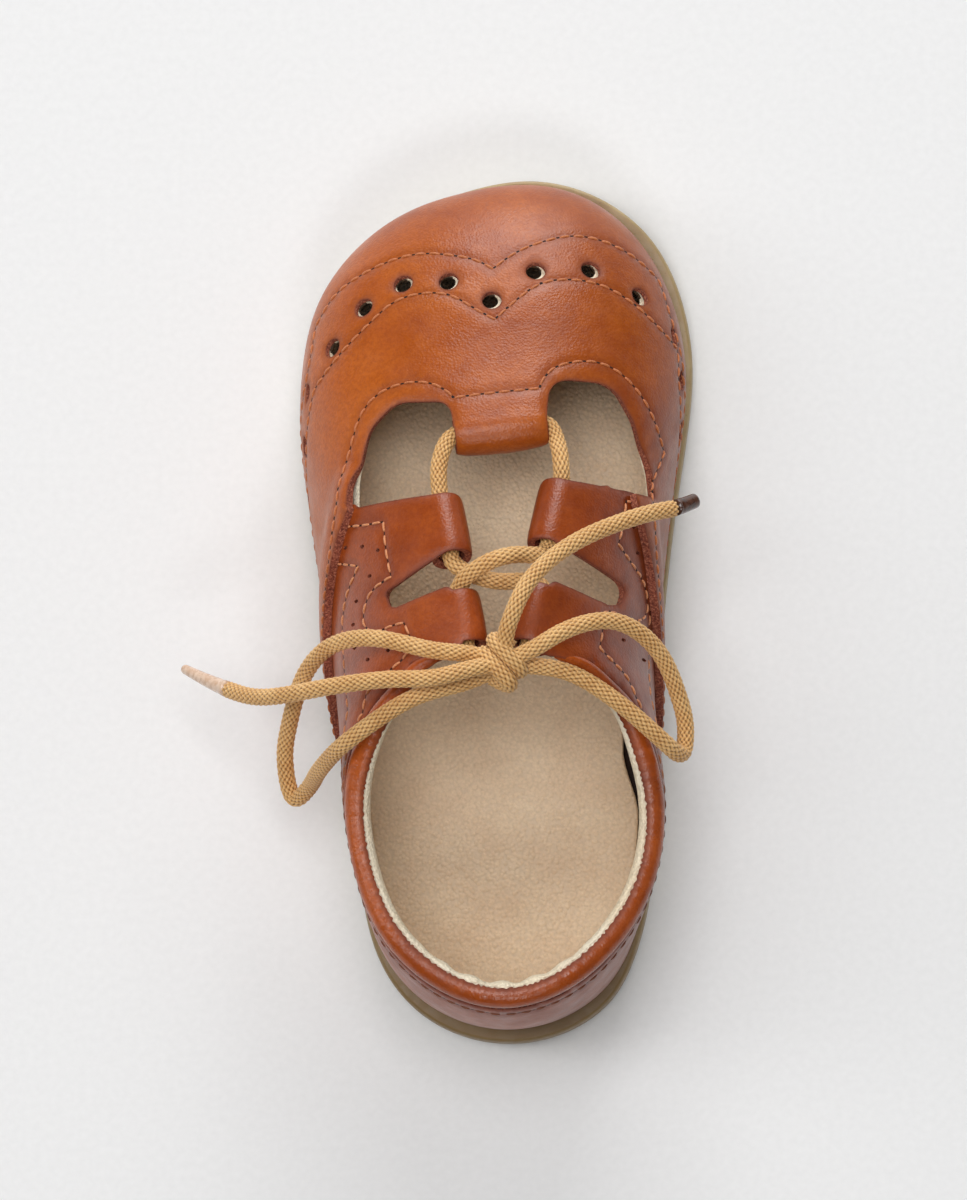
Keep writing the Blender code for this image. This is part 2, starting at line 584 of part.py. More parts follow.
def lap_share(places):
    """How much of the vamp's lap lies under each place: all at the raw edge, none at the toe or behind."""
    rows = np.array(VAMP_EDGE)
    y = LAST_FORM.side(places[:, 0], lambda chain, at: chain.y_at(at))
    hand_corner = np.where(places[:, 0] >= 0, MEDIAL_WINDOW[-1].y, LATERAL_WINDOW[-1].y)
    line = np.interp(-places[:, 1], -rows[:, 0], rows[:, 1])
    line = line + (hand_corner - VAMP_EDGE[2][1] - 0.2) * np.clip(places[:, 1] / VAMP_EDGE[2][0], 0, 1)
    ahead = y - line
    return np.where(ahead > -0.25, np.exp(-np.clip(ahead, 0, None) / 26), 0.0)


def tunnel_axis(name):
    """The middle line of a fold's tunnel, as its two ends."""
    row = FOLDS[name]
    ends = []
    for x, y in ((row.x0, row.y0), (row.x1, row.y1)):
        s, v = LAST_FORM.seen_from_above(x, y)
        ends.append(LAST_FORM.place(s, v) - LAST_FORM.normal(s, v) * TUNNEL)
    return np.array(ends)


def material(name):
    made = bpy.data.materials.get(name)
    if made is None:
        colour, rough = MATERIALS[name]
        made = bpy.data.materials.new(name)
        made.use_nodes = True
        shader = made.node_tree.nodes["Principled BSDF"]
        shader.inputs["Base Color"].default_value = (*colour, 1)
        shader.inputs["Roughness"].default_value = rough
        made.diffuse_color = (*colour, 1)
    return made


def add(name, data, look):
    obj = bpy.data.objects.new(name, data)
    bpy.data.collections[COLLECTION].objects.link(obj)
    data.materials.append(material(look))
    return obj


def add_upper():
    places, triangles, folds = lay_out_upper()
    points = LAST_FORM.place(places[:, 0], places[:, 1])
    shape = bmesh.new()
    lap = shape.verts.layers.float.new("lap")
    corners = [shape.verts.new(point * MM) for point in points]
    for triangle in triangles:
        shape.faces.new([corners[i] for i in triangle])
    for corner, share in zip(corners, lap_share(places)):
        corner[lap] = share
    for name, numbers in folds.items():
        row = FOLDS[name]
        axis = tunnel_axis(name)
        along = Vector(axis[1] - axis[0]).normalized()
        inward = Vector((row.inward_x, row.inward_y, 0))
        turn = along if along.cross(Vector((0, 0, 1))).dot(inward) > 0 else -along
        edges = [shape.edges.get((corners[a], corners[b])) for a, b in zip(numbers, numbers[1:])]
        bmesh.ops.spin(
            shape, geom=edges, cent=Vector(axis.mean(axis=0)) * MM, axis=turn, dvec=(0, 0, 0),
            angle=FOLD_TURN, steps=9, use_merge=False, use_normal_flip=False, use_duplicate=False,
        )
    unused = [vert for vert in shape.verts if not vert.link_faces]
    bmesh.ops.delete(shape, geom=unused, context="VERTS")
    bmesh.ops.recalc_face_normals(shape, faces=shape.faces)
    shape.faces.ensure_lookup_table()
    if max(shape.faces, key=lambda face: face.calc_center_median().y).normal.y < 0:
        bmesh.ops.reverse_faces(shape, faces=shape.faces)
    mesh = bpy.data.meshes.new("upper")
    shape.to_mesh(mesh)
    shares = [vert[lap] for vert in shape.verts]
    shape.free()
    upper = add("upper", mesh, "cognac_leather")
    group = upper.vertex_groups.new(name="thickness")
    for i, share in enumerate(shares):
        group.add([i], (WALL + VAMP_LAP * share) / (WALL + VAMP_LAP), "REPLACE")
    solid = upper.modifiers.new("leather", "SOLIDIFY")
    solid.thickness = (WALL + VAMP_LAP) * MM
    solid.offset = 1.0
    solid.use_even_offset = False
    solid.vertex_group = "thickness"
    return upper


def add_slab(name, sides, rings, look, stations=44):
    """A flat piece with a shaped edge. Each ring is (inset, function from y to z), from bottom to top."""
    low, high = sides[1].points[0, 1], sides[1].points[-1, 1]
    y = low + (high - low) * (1 - np.cos(np.linspace(0, math.pi, stations + 1))) / 2
    shape = bmesh.new()
    levels = []
    for inset, height in rings:
        loop = []
        for hand, order in ((1, range(stations + 1)), (-1, range(stations - 1, 0, -1))):
            side = sides[hand]
            for i in order:
                s = side.s_at(y[i])
                point = np.array([side.x_at(y[i]), y[i]]) - side.normal_at(s) * inset
                loop.append(shape.verts.new(Vector((*point, height(y[i]))) * MM))
        levels.append(loop)
    count = 2 * stations
    for below, above in zip(levels, levels[1:]):
        for i in range(count):
            j = (i + 1) % count
            shape.faces.new((below[i], below[j], above[j], above[i]))
    for loop, flip in ((levels[0], True), (levels[-1], False)):
        for i in range(stations):
            rung = [loop[i], loop[i + 1], loop[(count - i - 1) % count], loop[(count - i) % count]]
            rung = list(dict.fromkeys(rung))
            shape.faces.new(rung[::-1] if flip else rung)
    bmesh.ops.recalc_face_normals(shape, faces=shape.faces)
    mesh = bpy.data.meshes.new(name)
    shape.to_mesh(mesh)
    shape.free()
    return add(name, mesh, look)


def add_tube(name, points, radius, look, radii=None, sides=2):
    curve = bpy.data.curves.new(name, "CURVE")
    curve.dimensions = "3D"
    curve.bevel_depth = radius * MM
    curve.bevel_resolution = sides
    curve.use_fill_caps = True
    line = curve.splines.new("POLY")
    line.points.add(len(points) - 1)
    for i, point in enumerate(points):
        line.points[i].co = (*(np.asarray(point) * MM), 1)
        line.points[i].radius = 1.0 if radii is None else radii[i] / radius
    return add(name, curve, look)


def add_sole_and_insole():
    def between(share):
        return lambda y: sole_bottom(y) + share * (sole_top(y) - sole_bottom(y))

    edge = [(1.4, between(0)), (0.5, between(0.06)), (0.0, between(0.3)), (0.0, between(0.88))]
    edge += [(0.5, between(1))]
    add_slab("outsole", LAST_FORM.sole, edge, "sole_rubber")
    edge = [(1.0, lambda y: sole_top(y) + GAP), (0.6, lambda y: sole_top(y) + GAP + 0.5 * INSOLE)]
    edge += [(1.0, lambda y: sole_top(y) + GAP + INSOLE)]
    add_slab("insole", LAST_FORM.feather, edge, "sock_leather", stations=36)


def tunnel(name, backwards=False, beyond=0.9):
    """Points along a fold's tunnel and a little out of each end."""
    ends = tunnel_axis(name)
    ends = ends[::-1] if backwards else ends
    along = (ends[1] - ends[0]) / np.linalg.norm(ends[1] - ends[0])
    return np.linspace(ends[0] - along * beyond, ends[1] + along * beyond, 5)


def lace_route():
    """The lace from the knot up one side's tunnels, through the bar, and down the other side to the knot."""
    return np.concatenate([
        [(-1.4, -12.6, 47.4)], tunnel("lower_left", backwards=True),
        [(-3.2, 1.6, 46.6), (0.4, 3.6, 47.4), (4.6, 4.6, 45.6)], tunnel("upper_right", backwards=True),
        [(10.7, 20.0, 36.6), (9.9, 24.2, 34.6)], tunnel("bar"), [(-8.1, 22.0, 36.0), (-8.6, 17.6, 37.4)],
        tunnel("upper_left"), [(-3.4, 1.9, 43.0), (1.6, 0.7, 42.6), (6.0, 0.6, 42.8)], tunnel("lower_right"),
        [(4.6, -12.8, 47.2)],
    ])


def add_laces():
    add_tube("lace", smooth_route(lace_route(), 2.6), LACE / 2, "braided_lace")
    for name, route in (
        ("lace_bow_left", BOW_LEFT), ("lace_bow_right", BOW_RIGHT),
        ("lace_end_left", END_LEFT), ("lace_end_right", END_RIGHT),
    ):
        add_tube(name, smooth_route(route, 4.0), LACE / 2, "braided_lace")
    add_tube("aglet_left", AGLET_LEFT, AGLET / 2, "clear_aglet")
    add_tube("aglet_right", AGLET_RIGHT, AGLET / 2, "brown_aglet")
    shape = bmesh.new()
    bmesh.ops.create_uvsphere(shape, u_segments=14, v_segments=9, radius=0.5 * MM)
    mesh = bpy.data.meshes.new("lace_knot")
    shape.to_mesh(mesh)
    shape.free()
    knot = add("lace_knot", mesh, "braided_lace")
    knot.scale = KNOT_SIZE
    knot.rotation_euler = (0, 0, KNOT_TURN)
    knot.location = KNOT * MM


def main():
    for obj in list(bpy.data.objects):
        bpy.data.objects.remove(obj, do_unlink=True)
    bpy.context.scene.collection.children.link(bpy.data.collections.new(COLLECTION))
    add_sole_and_insole()
    add_upper()
    path, radius = collar_path()
    add_tube("collar", path, ROLL, "collar_leather", radius)
    add_laces()


main()
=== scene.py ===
"""The looks of the left T-bar brogue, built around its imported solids.

Lengths are in millimetres and MM turns them into metres where a mesh is made. +Y runs from heel to toe,
+X to the inner side of the foot and +Z up.
"""

import math
from collections import namedtuple

import bmesh
import bpy
import numpy as np
from mathutils import Matrix, Vector
from mathutils.bvhtree import BVHTree
from mathutils.geometry import delaunay_2d_cdt
from mathutils.kdtree import KDTree


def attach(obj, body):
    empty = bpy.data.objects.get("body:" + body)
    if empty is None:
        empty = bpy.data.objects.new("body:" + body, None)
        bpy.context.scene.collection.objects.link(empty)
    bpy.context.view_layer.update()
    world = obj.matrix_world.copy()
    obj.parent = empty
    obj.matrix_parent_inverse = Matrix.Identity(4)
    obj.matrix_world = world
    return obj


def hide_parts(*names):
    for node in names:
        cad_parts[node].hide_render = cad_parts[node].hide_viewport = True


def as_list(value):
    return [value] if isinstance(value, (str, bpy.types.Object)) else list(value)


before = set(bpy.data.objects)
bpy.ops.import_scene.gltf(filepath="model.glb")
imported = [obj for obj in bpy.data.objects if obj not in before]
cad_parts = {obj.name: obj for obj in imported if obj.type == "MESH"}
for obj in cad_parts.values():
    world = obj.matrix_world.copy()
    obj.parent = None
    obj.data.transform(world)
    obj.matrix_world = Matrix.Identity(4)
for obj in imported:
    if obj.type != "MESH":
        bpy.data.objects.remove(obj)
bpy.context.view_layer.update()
MM = 0.001

# Driving sizes
LENGTH = 140.0          # outsole, heel to toe
BALL_WIDTH = 63.0       # outsole, across the ball
INSTEP = 49.0           # inside of the upper, floor to ridge at the lower straps
SOLE_HEEL = 8.0         # thickness of the sole under the heel
SOLE_BALL = 6.0         # and under the ball
ARCH = 1.2              # how far the waist clears the floor
ARCH_RAMP = 12.0        # length of the arch's rise at each end
TOE_SPRING = 3.2        # how far the tip of the toe clears the floor
HEEL_SPRING = 0.5       # how far the very back of the heel clears the floor
HEEL_REST = (-64.0, -30.0)  # y where the sole rests on the floor under the heel
BALL_REST = (4.0, 42.0)     # and under the ball
THINNING = (-40.0, 20.0)    # y where the sole goes from its heel's to its ball's thickness
HEEL_BULGE = 0.7        # how far the back of the heel stands out low down
HEEL_LEAN = 2.4         # and how far it leans in near the collar
HEEL_CURVE = (-40.0, -68.0)     # y where both begin and where they count in full
BULGE_LEVELS = (8.0, 42.0)      # z where the bulge begins and ends
LEAN_LEVELS = (24.0, 46.0)      # z where the lean begins and where it reaches HEEL_LEAN
SWELL_TOP = 0.8         # level v where the walls' swell ends
FLARE_TOP = 0.7         # share of the height where their flare is full
SWELL_FADE = 4.0        # half widths at which swell and flare are halved, towards the toe and the heel
FLARE_FADE = 2.0
WALL = 1.5              # leather with its lining
GAP = 0.3               # between pieces
INSOLE = 2.0            # thickness
ROLL = 2.1              # half the thickness of the padded collar
ROLL_IN = 1.1           # how far its middle stands inside the wall's
ROLL_IN_RAMP = 10.0     # length over which it gets there
LACE = 3.0              # diameter
TUNNEL = LACE / 2 + 0.35    # radius of a lace tunnel
FOLD_TURN = math.radians(270)   # how far a strap's end is turned under
HOLE = 3.05             # diameter of a punched hole, at its rim
AGLET = 2.6             # diameter

# Outline of the outsole. along is the share of LENGTH from the heel, lateral and medial are shares of
# BALL_WIDTH from the middle, and the lips are what the sole shows outside the upper.
Outline = namedtuple("Outline", "along lateral medial lateral_lip medial_lip")
OUTLINE = [
    Outline(0.000, 0.019, 0.019, 2.2, 2.2),
    Outline(0.021, -0.159, 0.204, 2.1, 2.1),
    Outline(0.053, -0.249, 0.290, 1.8, 1.8),
    Outline(0.100, -0.314, 0.345, 1.2, 1.1),
    Outline(0.179, -0.357, 0.388, 0.8, 0.8),
    Outline(0.286, -0.388, 0.403, 0.7, 0.7),
    Outline(0.393, -0.423, 0.407, 0.6, 0.7),
    Outline(0.500, -0.458, 0.424, 0.5, 0.7),
    Outline(0.607, -0.487, 0.451, 0.2, 0.8),
    Outline(0.700, -0.504, 0.482, -0.2, 1.0),
    Outline(0.786, -0.496, 0.498, -0.4, 1.4),
    Outline(0.850, -0.462, 0.478, -0.5, 1.8),
    Outline(0.898, -0.400, 0.440, -0.4, 2.1),
    Outline(0.936, -0.320, 0.386, -0.1, 2.2),
    Outline(0.964, -0.230, 0.318, 0.3, 1.9),
    Outline(0.986, -0.104, 0.229, 0.7, 1.5),
    Outline(1.000, 0.075, 0.075, 1.1, 1.1),
]

# Cross sections of the last. crown is the ridge as a share of INSTEP (behind the straps, where the shoe
# is open, it only steers the walls), square is the power of the section's curve, swell is how far the
# wall stands out low down and the flares are how far it stands out, or in, at the collar.
Section = namedtuple("Section", "y ridge_x crown square swell lateral_flare medial_flare")
LAST = [
    Section(-70, 1.3, 1.38, 3.6, 0.5, -1.4, -1.0),
    Section(-60, 1.3, 1.35, 3.6, 0.6, -1.7, -1.3),
    Section(-50, 1.3, 1.28, 3.5, 0.7, -0.2, 1.4),
    Section(-36, 1.3, 1.15, 3.3, 0.8, 1.5, 3.4),
    Section(-22, 1.2, 1.05, 2.6, 0.8, 1.0, 2.3),
    Section(-8, 1.0, 1.00, 2.2, 0.8, 0.0, 0.0),
    Section(8, 1.0, 0.905, 2.15, 1.1, 0.0, 0.0),
    Section(22, 1.1, 0.785, 2.2, 1.5, 0.0, 0.0),
    Section(36, 1.4, 0.670, 2.3, 1.6, 0.0, 0.0),
    Section(50, 2.2, 0.575, 2.35, 1.0, 0.0, 0.0),
    Section(70, 4.6, 0.500, 2.4, 0.6, 0.0, 0.0),
]
TOE_START = 43.0        # where the toe begins to round down
TOE_POWER = 2.3

# Line of the collar roll's middle on each side of the heel opening
Collar = namedtuple("Collar", "y lateral_z medial_z radius")
COLLAR = [
    Collar(-70, 43.0, 43.0, ROLL),
    Collar(-64, 42.3, 42.3, ROLL),
    Collar(-54, 40.2, 40.0, ROLL),
    Collar(-42, 38.2, 37.8, ROLL),
    Collar(-32, 38.3, 37.5, ROLL),
    Collar(-25, 40.4, 38.2, ROLL),
    Collar(-20, 43.4, 39.6, 0.9 * ROLL),
    Collar(-16, 46.0, 43.4, 0.7 * ROLL),
    Collar(-13, 47.6, 47.0, 0.45 * ROLL),
]

# The five ends that are turned under into lace tunnels, as the two ends of each fold seen from above
Fold = namedtuple("Fold", "name x0 y0 x1 y1 inward_x inward_y")
FOLDS = {
    fold.name: fold
    for fold in (
        Fold("bar", 7.8, 27.2, -5.6, 25.6, 0, -1),
        Fold("upper_left", -8.6, 13.9, -6.9, 5.2, 1, 0),
        Fold("lower_left", -5.7, -1.8, -4.2, -9.3, 1, 0),
        Fold("upper_right", 11.3, 16.3, 9.4, 7.0, -1, 0),
        Fold("lower_right", 8.5, -0.9, 6.3, -9.3, -1, 0),
    )
}

# Corners of the cut edge between the folds, seen from above, from the bar back to the collar
Corner = namedtuple("Corner", "x y radius")
LATERAL_WINDOW = [
    Corner(-6.6, 30.0, 2.8), Corner(-15.2, 30.3, 4.2), Corner(-19.4, 26.1, 6.0), Corner(-21.2, 17.5, 10.0),
    Corner(-21.2, 12.9, 0.7),
]
LATERAL_SLOT = [
    Corner(-8.4, 4.2, 0.8), Corner(-16.4, -0.9, 1.6), Corner(-15.3, -4.3, 1.4), Corner(-6.6, -1.2, 0.6),
]
LATERAL_REAR = [Corner(-5.2, -11.4, 0.8), Corner(-8.8, -12.2, 1.5), Corner(-12.1, -12.6, 0.0)]
MEDIAL_WINDOW = [
    Corner(8.3, 33.8, 3.4), Corner(18.1, 33.5, 5.0), Corner(21.4, 27.7, 7.0), Corner(23.8, 18.6, 9.0),
    Corner(24.0, 15.1, 0.7),
]
MEDIAL_SLOT = [
    Corner(10.6, 6.1, 0.8), Corner(20.0, 0.8, 2.2), Corner(18.8, -3.9, 1.9), Corner(9.4, -0.3, 0.6),
]
MEDIAL_REAR = [Corner(7.5, -11.4, 0.8), Corner(11.2, -12.1, 1.5), Corner(15.2, -12.4, 0.0)]

Edges = namedtuple("Edges", "upper lower window slot rear")
EDGES = {
    -1: Edges("upper_left", "lower_left", LATERAL_WINDOW, LATERAL_SLOT, LATERAL_REAR),
    1: Edges("upper_right", "lower_right", MEDIAL_WINDOW, MEDIAL_SLOT, MEDIAL_REAR),
}

# Where the vamp's raw edge crosses the quarters: from the window's corner down and back to the sole.
# Rows are the level v on the last and y.
VAMP_EDGE = [(0.50, 13.0), (0.36, 4.0), (0.20, -6.5), (0.09, -15.0), (0.0, -22.0)]

# Punched holes along the wing: seen from above, and low on the two sides as (side, y, v)
HOLES = [
    (-29.6, 33.7), (-25.2, 40.2), (-20.4, 46.3), (-14.3, 49.8), (-7.2, 49.9), (-0.4, 46.6),
    (6.4, 51.5), (14.8, 52.0), (22.2, 48.2), (27.4, 42.7),
]
SIDE_HOLES = [(-1, 25.6, 0.2), (-1, 17.6, 0.115), (1, 36.0, 0.205), (1, 28.4, 0.135), (1, 20.6, 0.07)]

# Middle of the bow's knot
KNOT = Vector((1.8, -12.8, 51.0))

# Routes of the bow, from the knot outwards
BOW_LEFT = [
    (-3.6, -11.6, 52.0), (-8.5, -11.2, 53.4), (-14.5, -9.7, 52.0), (-20.3, -8.7, 48.0), (-25.7, -9.6, 42.0),
    (-30.2, -13.8, 34.0), (-32.9, -20.9, 26.0), (-33.6, -27.0, 20.8), (-32.3, -31.4, 18.9),
    (-30.2, -30.4, 22.0), (-28.2, -28.6, 30.0), (-25.6, -26.6, 38.8), (-22.6, -24.6, 44.8),
    (-18.4, -21.8, 47.4), (-10.5, -17.6, 49.4), (-3.4, -15.6, 49.6),
]
BOW_RIGHT = [
    (6.6, -11.0, 53.0), (10.2, -8.9, 53.6), (14.6, -7.0, 52.6), (19.0, -6.4, 50.2), (23.1, -7.9, 47.0),
    (26.8, -11.7, 43.0), (29.1, -17.0, 39.4), (30.2, -22.2, 37.0), (29.8, -25.7, 37.4),
    (27.7, -25.3, 41.6), (25.2, -23.2, 44.0), (21.6, -20.2, 46.2), (17.0, -16.9, 48.2), (11.6, -14.2, 49.8),
    (7.2, -13.4, 50.2),
]
END_LEFT = [
    (-2.6, -14.0, 53.8), (-8.0, -15.4, 54.4), (-14.5, -15.6, 53.0), (-20.3, -15.8, 50.2),
    (-27.3, -16.4, 45.4), (-33.0, -16.9, 40.2), (-38.4, -16.4, 33.6), (-42.2, -14.9, 28.4),
]
END_RIGHT = [
    (2.6, -8.2, 53.6), (3.6, -5.4, 54.6), (5.4, -1.6, 54.4), (8.6, 2.4, 52.6), (13.5, 6.2, 50.0),
    (19.3, 9.2, 46.6), (24.9, 11.4, 42.8), (28.4, 12.4, 40.0),
]
AGLET_LEFT = [(-42.6, -14.7, 28.0), (-46.3, -12.8, 24.0), (-50.1, -10.6, 19.9)]
AGLET_RIGHT = [(28.8, 12.6, 39.7), (30.4, 13.3, 38.2), (31.9, 14.1, 36.8)]

# Stitch lines. A plan point is (x, y) seen from above, a flank row is (y, v) on one side, and a collar row
# is y and how far below the roll's middle. A line's parts meet at corners.
COLLAR_SEAM = [(-20, 3.6), (-30, 3.9), (-45, 4.1), (-58, 4.1), (-67.5, 4.1)]
WING_FRONT = [
    ("flank", -1, [(14, 0.02), (24, 0.09), (31, 0.17), (36.6, 0.245), (41.2, 0.262)]),
    ("plan", 0, [(-27.9, 44.6), (-24.6, 49.4), (-20.9, 51.9), (-16.3, 53.9), (-11.6, 54.8), (-6.5, 54.3),
                 (-2.3, 53.1), (-0.3, 51.9)]),
    ("plan", 0, [(3.2, 54.6), (7.8, 56.7), (12.2, 57.7), (16.9, 57.0), (21.2, 54.9), (25.5, 51.2)]),
    ("flank", 1, [(46.6, 0.262), (41.0, 0.22), (35, 0.15), (28, 0.08), (20, 0.02)]),
]
WING_BACK = [
    ("flank", -1, [(0, 0.02), (10, 0.08), (20, 0.165), (28.9, 0.265)]),
    ("plan", 0, [(-28.0, 33.8), (-24.5, 38.3), (-19.1, 43.9), (-15.6, 46.8), (-11.4, 48.0), (-6.6, 47.4),
                 (-3.3, 45.4), (0.1, 43.4)]),
    ("plan", 0, [(3.9, 47.0), (7.5, 49.5), (11.6, 50.2), (16.7, 49.4), (20.0, 47.7), (24.2, 44.3),
                 (28.0, 40.4)]),
    ("flank", 1, [(36.0, 0.255), (31, 0.2), (23, 0.12), (14, 0.065), (5, 0.02)]),
]
THROAT = [
    ("flank", -1, [(-20.4, 0.015), (-14.2, 0.09), (-5.8, 0.20), (4.8, 0.36), (13.8, 0.452)]),
    ("plan", 0, [(-22.6, 20.4), (-21.7, 24.2), (-20.5, 28.2), (-18.1, 31.3), (-15.2, 32.7), (-11.4, 33.1),
                 (-8.6, 32.3), (-6.0, 30.2)]),
    ("plan", 0, [(-2.0, 30.7), (2.5, 31.2), (7.0, 31.7)]),
    ("plan", 0, [(7.6, 33.2), (9.3, 35.2), (12.0, 36.3), (15.0, 36.6), (17.8, 35.9), (21.3, 33.1),
                 (24.0, 28.7), (25.6, 23.5)]),
    ("flank", 1, [(16.0, 0.40), (7.6, 0.345), (-4.0, 0.20), (-13.2, 0.09), (-19.8, 0.015)]),
]
LATERAL_FACING = [
    ("plan", 0, [(-22.8, 10.7), (-19.5, 10.3), (-16.4, 10.4)]),
    ("plan", 0, [(-15.9, 6.0), (-15.0, 1.4)]),
    ("plan", 0, [(-18.0, -0.5), (-19.2, -3.6), (-19.0, -5.8), (-17.4, -7.0), (-15.2, -6.6), (-12.9, -6.2)]),
    ("plan", 0, [(-12.2, -7.8), (-11.6, -10.2)]),
    ("plan", 0, [(-13.6, -12.6), (-16.4, -14.6), (-18.7, -17.2)]),
    ("collar", -1, COLLAR_SEAM),
]
LATERAL_BAND = [
    ("plan", 0, [(-23.9, 5.2), (-20.2, 3.9)]),
    ("plan", 0, [(-22.0, 0.0), (-22.8, -4.2), (-22.6, -9.2), (-22.3, -13.2)]),
    ("flank", -1, [(-19, 0.36), (-26, 0.27), (-34, 0.17), (-42, 0.02)]),
]
MEDIAL_FACING = [
    ("plan", 0, [(24.6, 14.5), (22.2, 14.3), (19.8, 14.3)]),
    ("plan", 0, [(19.3, 10.5), (18.6, 7.2)]),
    ("plan", 0, [(20.6, 4.5), (22.2, 2.2), (22.8, -0.8), (22.2, -3.6), (20.4, -4.6), (18.4, -4.0),
                 (16.4, -4.1)]),
    ("plan", 0, [(16.1, -7.6), (15.8, -10.2)]),
    ("plan", 0, [(18.0, -12.4), (19.8, -14.4), (21.0, -17.0)]),
    ("collar", 1, COLLAR_SEAM),
]
MEDIAL_BAND = [
    ("plan", 0, [(25.4, 8.2), (23.8, 7.1)]),
    ("plan", 0, [(24.6, 3.6), (24.9, -1.0), (24.7, -6.0), (24.6, -11.0)]),
    ("flank", 1, [(-16, 0.27), (-24, 0.21), (-32, 0.13), (-40, 0.02)]),
]
VAMP_SEAMS = [WING_FRONT, WING_BACK, THROAT]
QUARTER_SEAMS = [LATERAL_FACING, LATERAL_BAND, MEDIAL_FACING, MEDIAL_BAND]

# Small holes pricked along the band between each facing's two seams, seen from above
PINHOLES = [
    (-22.3, 7.3), (-19.6, 6.9), (-17.1, 5.9), (-18.3, 2.0), (-20.4, -1.6), (-20.9, -5.2), (-20.6, -9.0),
    (-18.4, -11.4), (-15.2, -10.4), (-20.4, -15.0),
    (23.4, 11.2), (20.9, 10.4), (21.4, 6.4), (23.4, 3.6), (23.9, 0.4), (23.8, -3.2), (22.6, -6.6),
    (19.2, -8.2), (22.2, -10.6), (24.2, -14.2),
]
PINHOLE = 0.65          # diameter

# Sizes of the leather's, the collar's, the sole's and the lace's detail
LINING = 0.45           # thickness
FLESH = 0.55            # height of the leather's flesh side above the last
UNDERLAP = 2.5          # how far the quarters run on under the vamp
EDGE_STEP = 0.7         # between points along cut edges
FINE = 1.1              # between the points that the leather is shaped on
INSET = 0.38            # width of the rounding along a cut edge
OUTLINE_POINTS = 2400   # round the sole's outline
HOLE_SIDES = 20
SEAM_STEP = 0.45        # between points along a stitch line
PITCH = 2.35            # from stitch to stitch
THREAD = 0.21           # radius
NEEDLE_HOLE = 0.29      # radius
LAP = 1.5               # how far the vamp's raw edge stands above the quarters
LAP_LENGTH = 7.0        # how soon it settles down
CUT_ROUNDING = 0.2      # how far cut edges are rounded off
RAW_ROUNDING = 0.15     # and the raw edge and the holes' rims
HOLE_RIM = 0.4          # width of a hole's rim
CUT_TURN_IN = 0.4       # how far the flesh side comes in at a cut edge
FEATHER_LAP = 0.25      # and at the sole
SEAM_DENT = 0.13        # how deep a seam pulls in
SEAM_SWELL = 0.07       # how far the leather swells beside it
FOLD_STEPS = 27
SHARP = math.radians(48)    # edges that turn more are shaded sharp
LINING_HOLE = 0.84      # a hole in the lining, as a share of the leather's
LINING_SLIP = (-0.3, 0.35)  # how far it has slipped aside under the leather
SET_BACK = 0.35         # how far the lining stays back from the other cut edges

# Painted shade on the sock, darker where less light reaches it, as under the toe: rows of y and a share
SOCK_PAINTED_SHADE = [(-64, 1.0), (-54, 0.95), (-42, 0.8), (-18, 0.8), (8, 1.0), (34, 0.95), (50, 0.2)]

TOE_HOLLOW = Vector((0, 33, 14))    # in the dark inside of the toe
LEAD_IN = 3.6           # where the collar's roll starts, from the lower straps' folds
LEAD_RADIUS = (0.35, 1.45)   # there, and where it reaches the wall
PINK_PITCH = 1.1        # teeth of the collar's pinked edge
PINK_DEPTH = 0.25
ROLL_STEP = 0.22        # between the rows of points along the roll
ROLL_COLUMNS = 22
ROLL_EVEN = 2.6         # shorter waves are taken out of it
ROLL_END = 1.2          # length of its rounded ends
ROLL_LEATHER = 0.5      # thickness
ROLL_ANGLES = (-102, 106)   # its leather's edges, in degrees round it: 0 is outwards and 90 is up
ROLL_LINING_ANGLES = (92, 252)
HEEL_RIPPLE = -66.0     # y where the lining of the roll ripples most

TREAD = 5.0             # from groove to groove
TREAD_DEPTH = 0.6
TREAD_WAVE = 1.1        # how far the grooves swing to and fro
GROOVE = 0.55           # half the width of a groove
TREAD_REACH = [(-66, -26), (-2, 58)]    # y of the treads under heel and ball
TREAD_MARGIN = 3.0      # between the grooves and the sole's edge
WAIST = (-34.0, -6.0)   # y where the sock stands further off the medial wall
WAIST_RAMPS = (11.0, 8.0)   # lengths over which it does so at each end
WAIST_GAP = 2.6         # how much further
DISH = 0.4              # how far the sock is hollowed
DISH_RAMP = 9.0         # distance from its edge where that is full

BRAID_STRANDS = 10      # each way round
BRAID_SIDES = 60
BRAID_CORE = 0.44       # how far the gaps between strands lie below the cord's surface
BRAID_RELIEF = 0.33     # how far strands stand above the gaps
AGLET_SIDES = 28
PLAIT = 1.3             # along the cord, from one crossing to the next but one
TUNNEL_LEAD = 0.9       # how far the lace runs straight on out of a tunnel
KNOT_WRAPS = 2
KNOT_HALF_WIDTH = 3.0   # of the wraps' middle line
KNOT_HALF_HEIGHT = 1.8
KNOT_LEAD = 2.7         # from wrap to wrap
KNOT_AXIS = math.radians(53)

# The edges of the sole and the sock, from bottom to top: the inset and the share of the thickness
SOLE_EDGE = [
    (1.4, 0), (0.9, 0.015), (0.5, 0.06), (0.18, 0.15), (0.0, 0.3), (0.0, 0.5), (0.03, 0.53), (0.28, 0.56),
    (0.28, 0.6), (0.03, 0.63), (0.0, 0.66), (0.0, 0.84), (0.12, 0.93), (0.34, 0.985), (0.6, 1),
]
SOCK_EDGE = [(1.0, 0), (0.65, 0.5), (0.7, 0.8), (0.85, 0.94), (1.15, 1)]

# Where the strands end inside the knot, from its middle: the lace's two, each loop's two, the free ends
KNOT_HEART = [
    (-0.8, 0.1, -1.4), (0.8, 0.0, -1.4), (-1.2, 0.4, 0.2), (-1.0, -1.0, -0.8),
    (1.2, 0.4, 0.6), (1.4, -0.4, -0.6), (-0.6, -0.6, 1.0), (0.2, 1.0, 0.6),
]

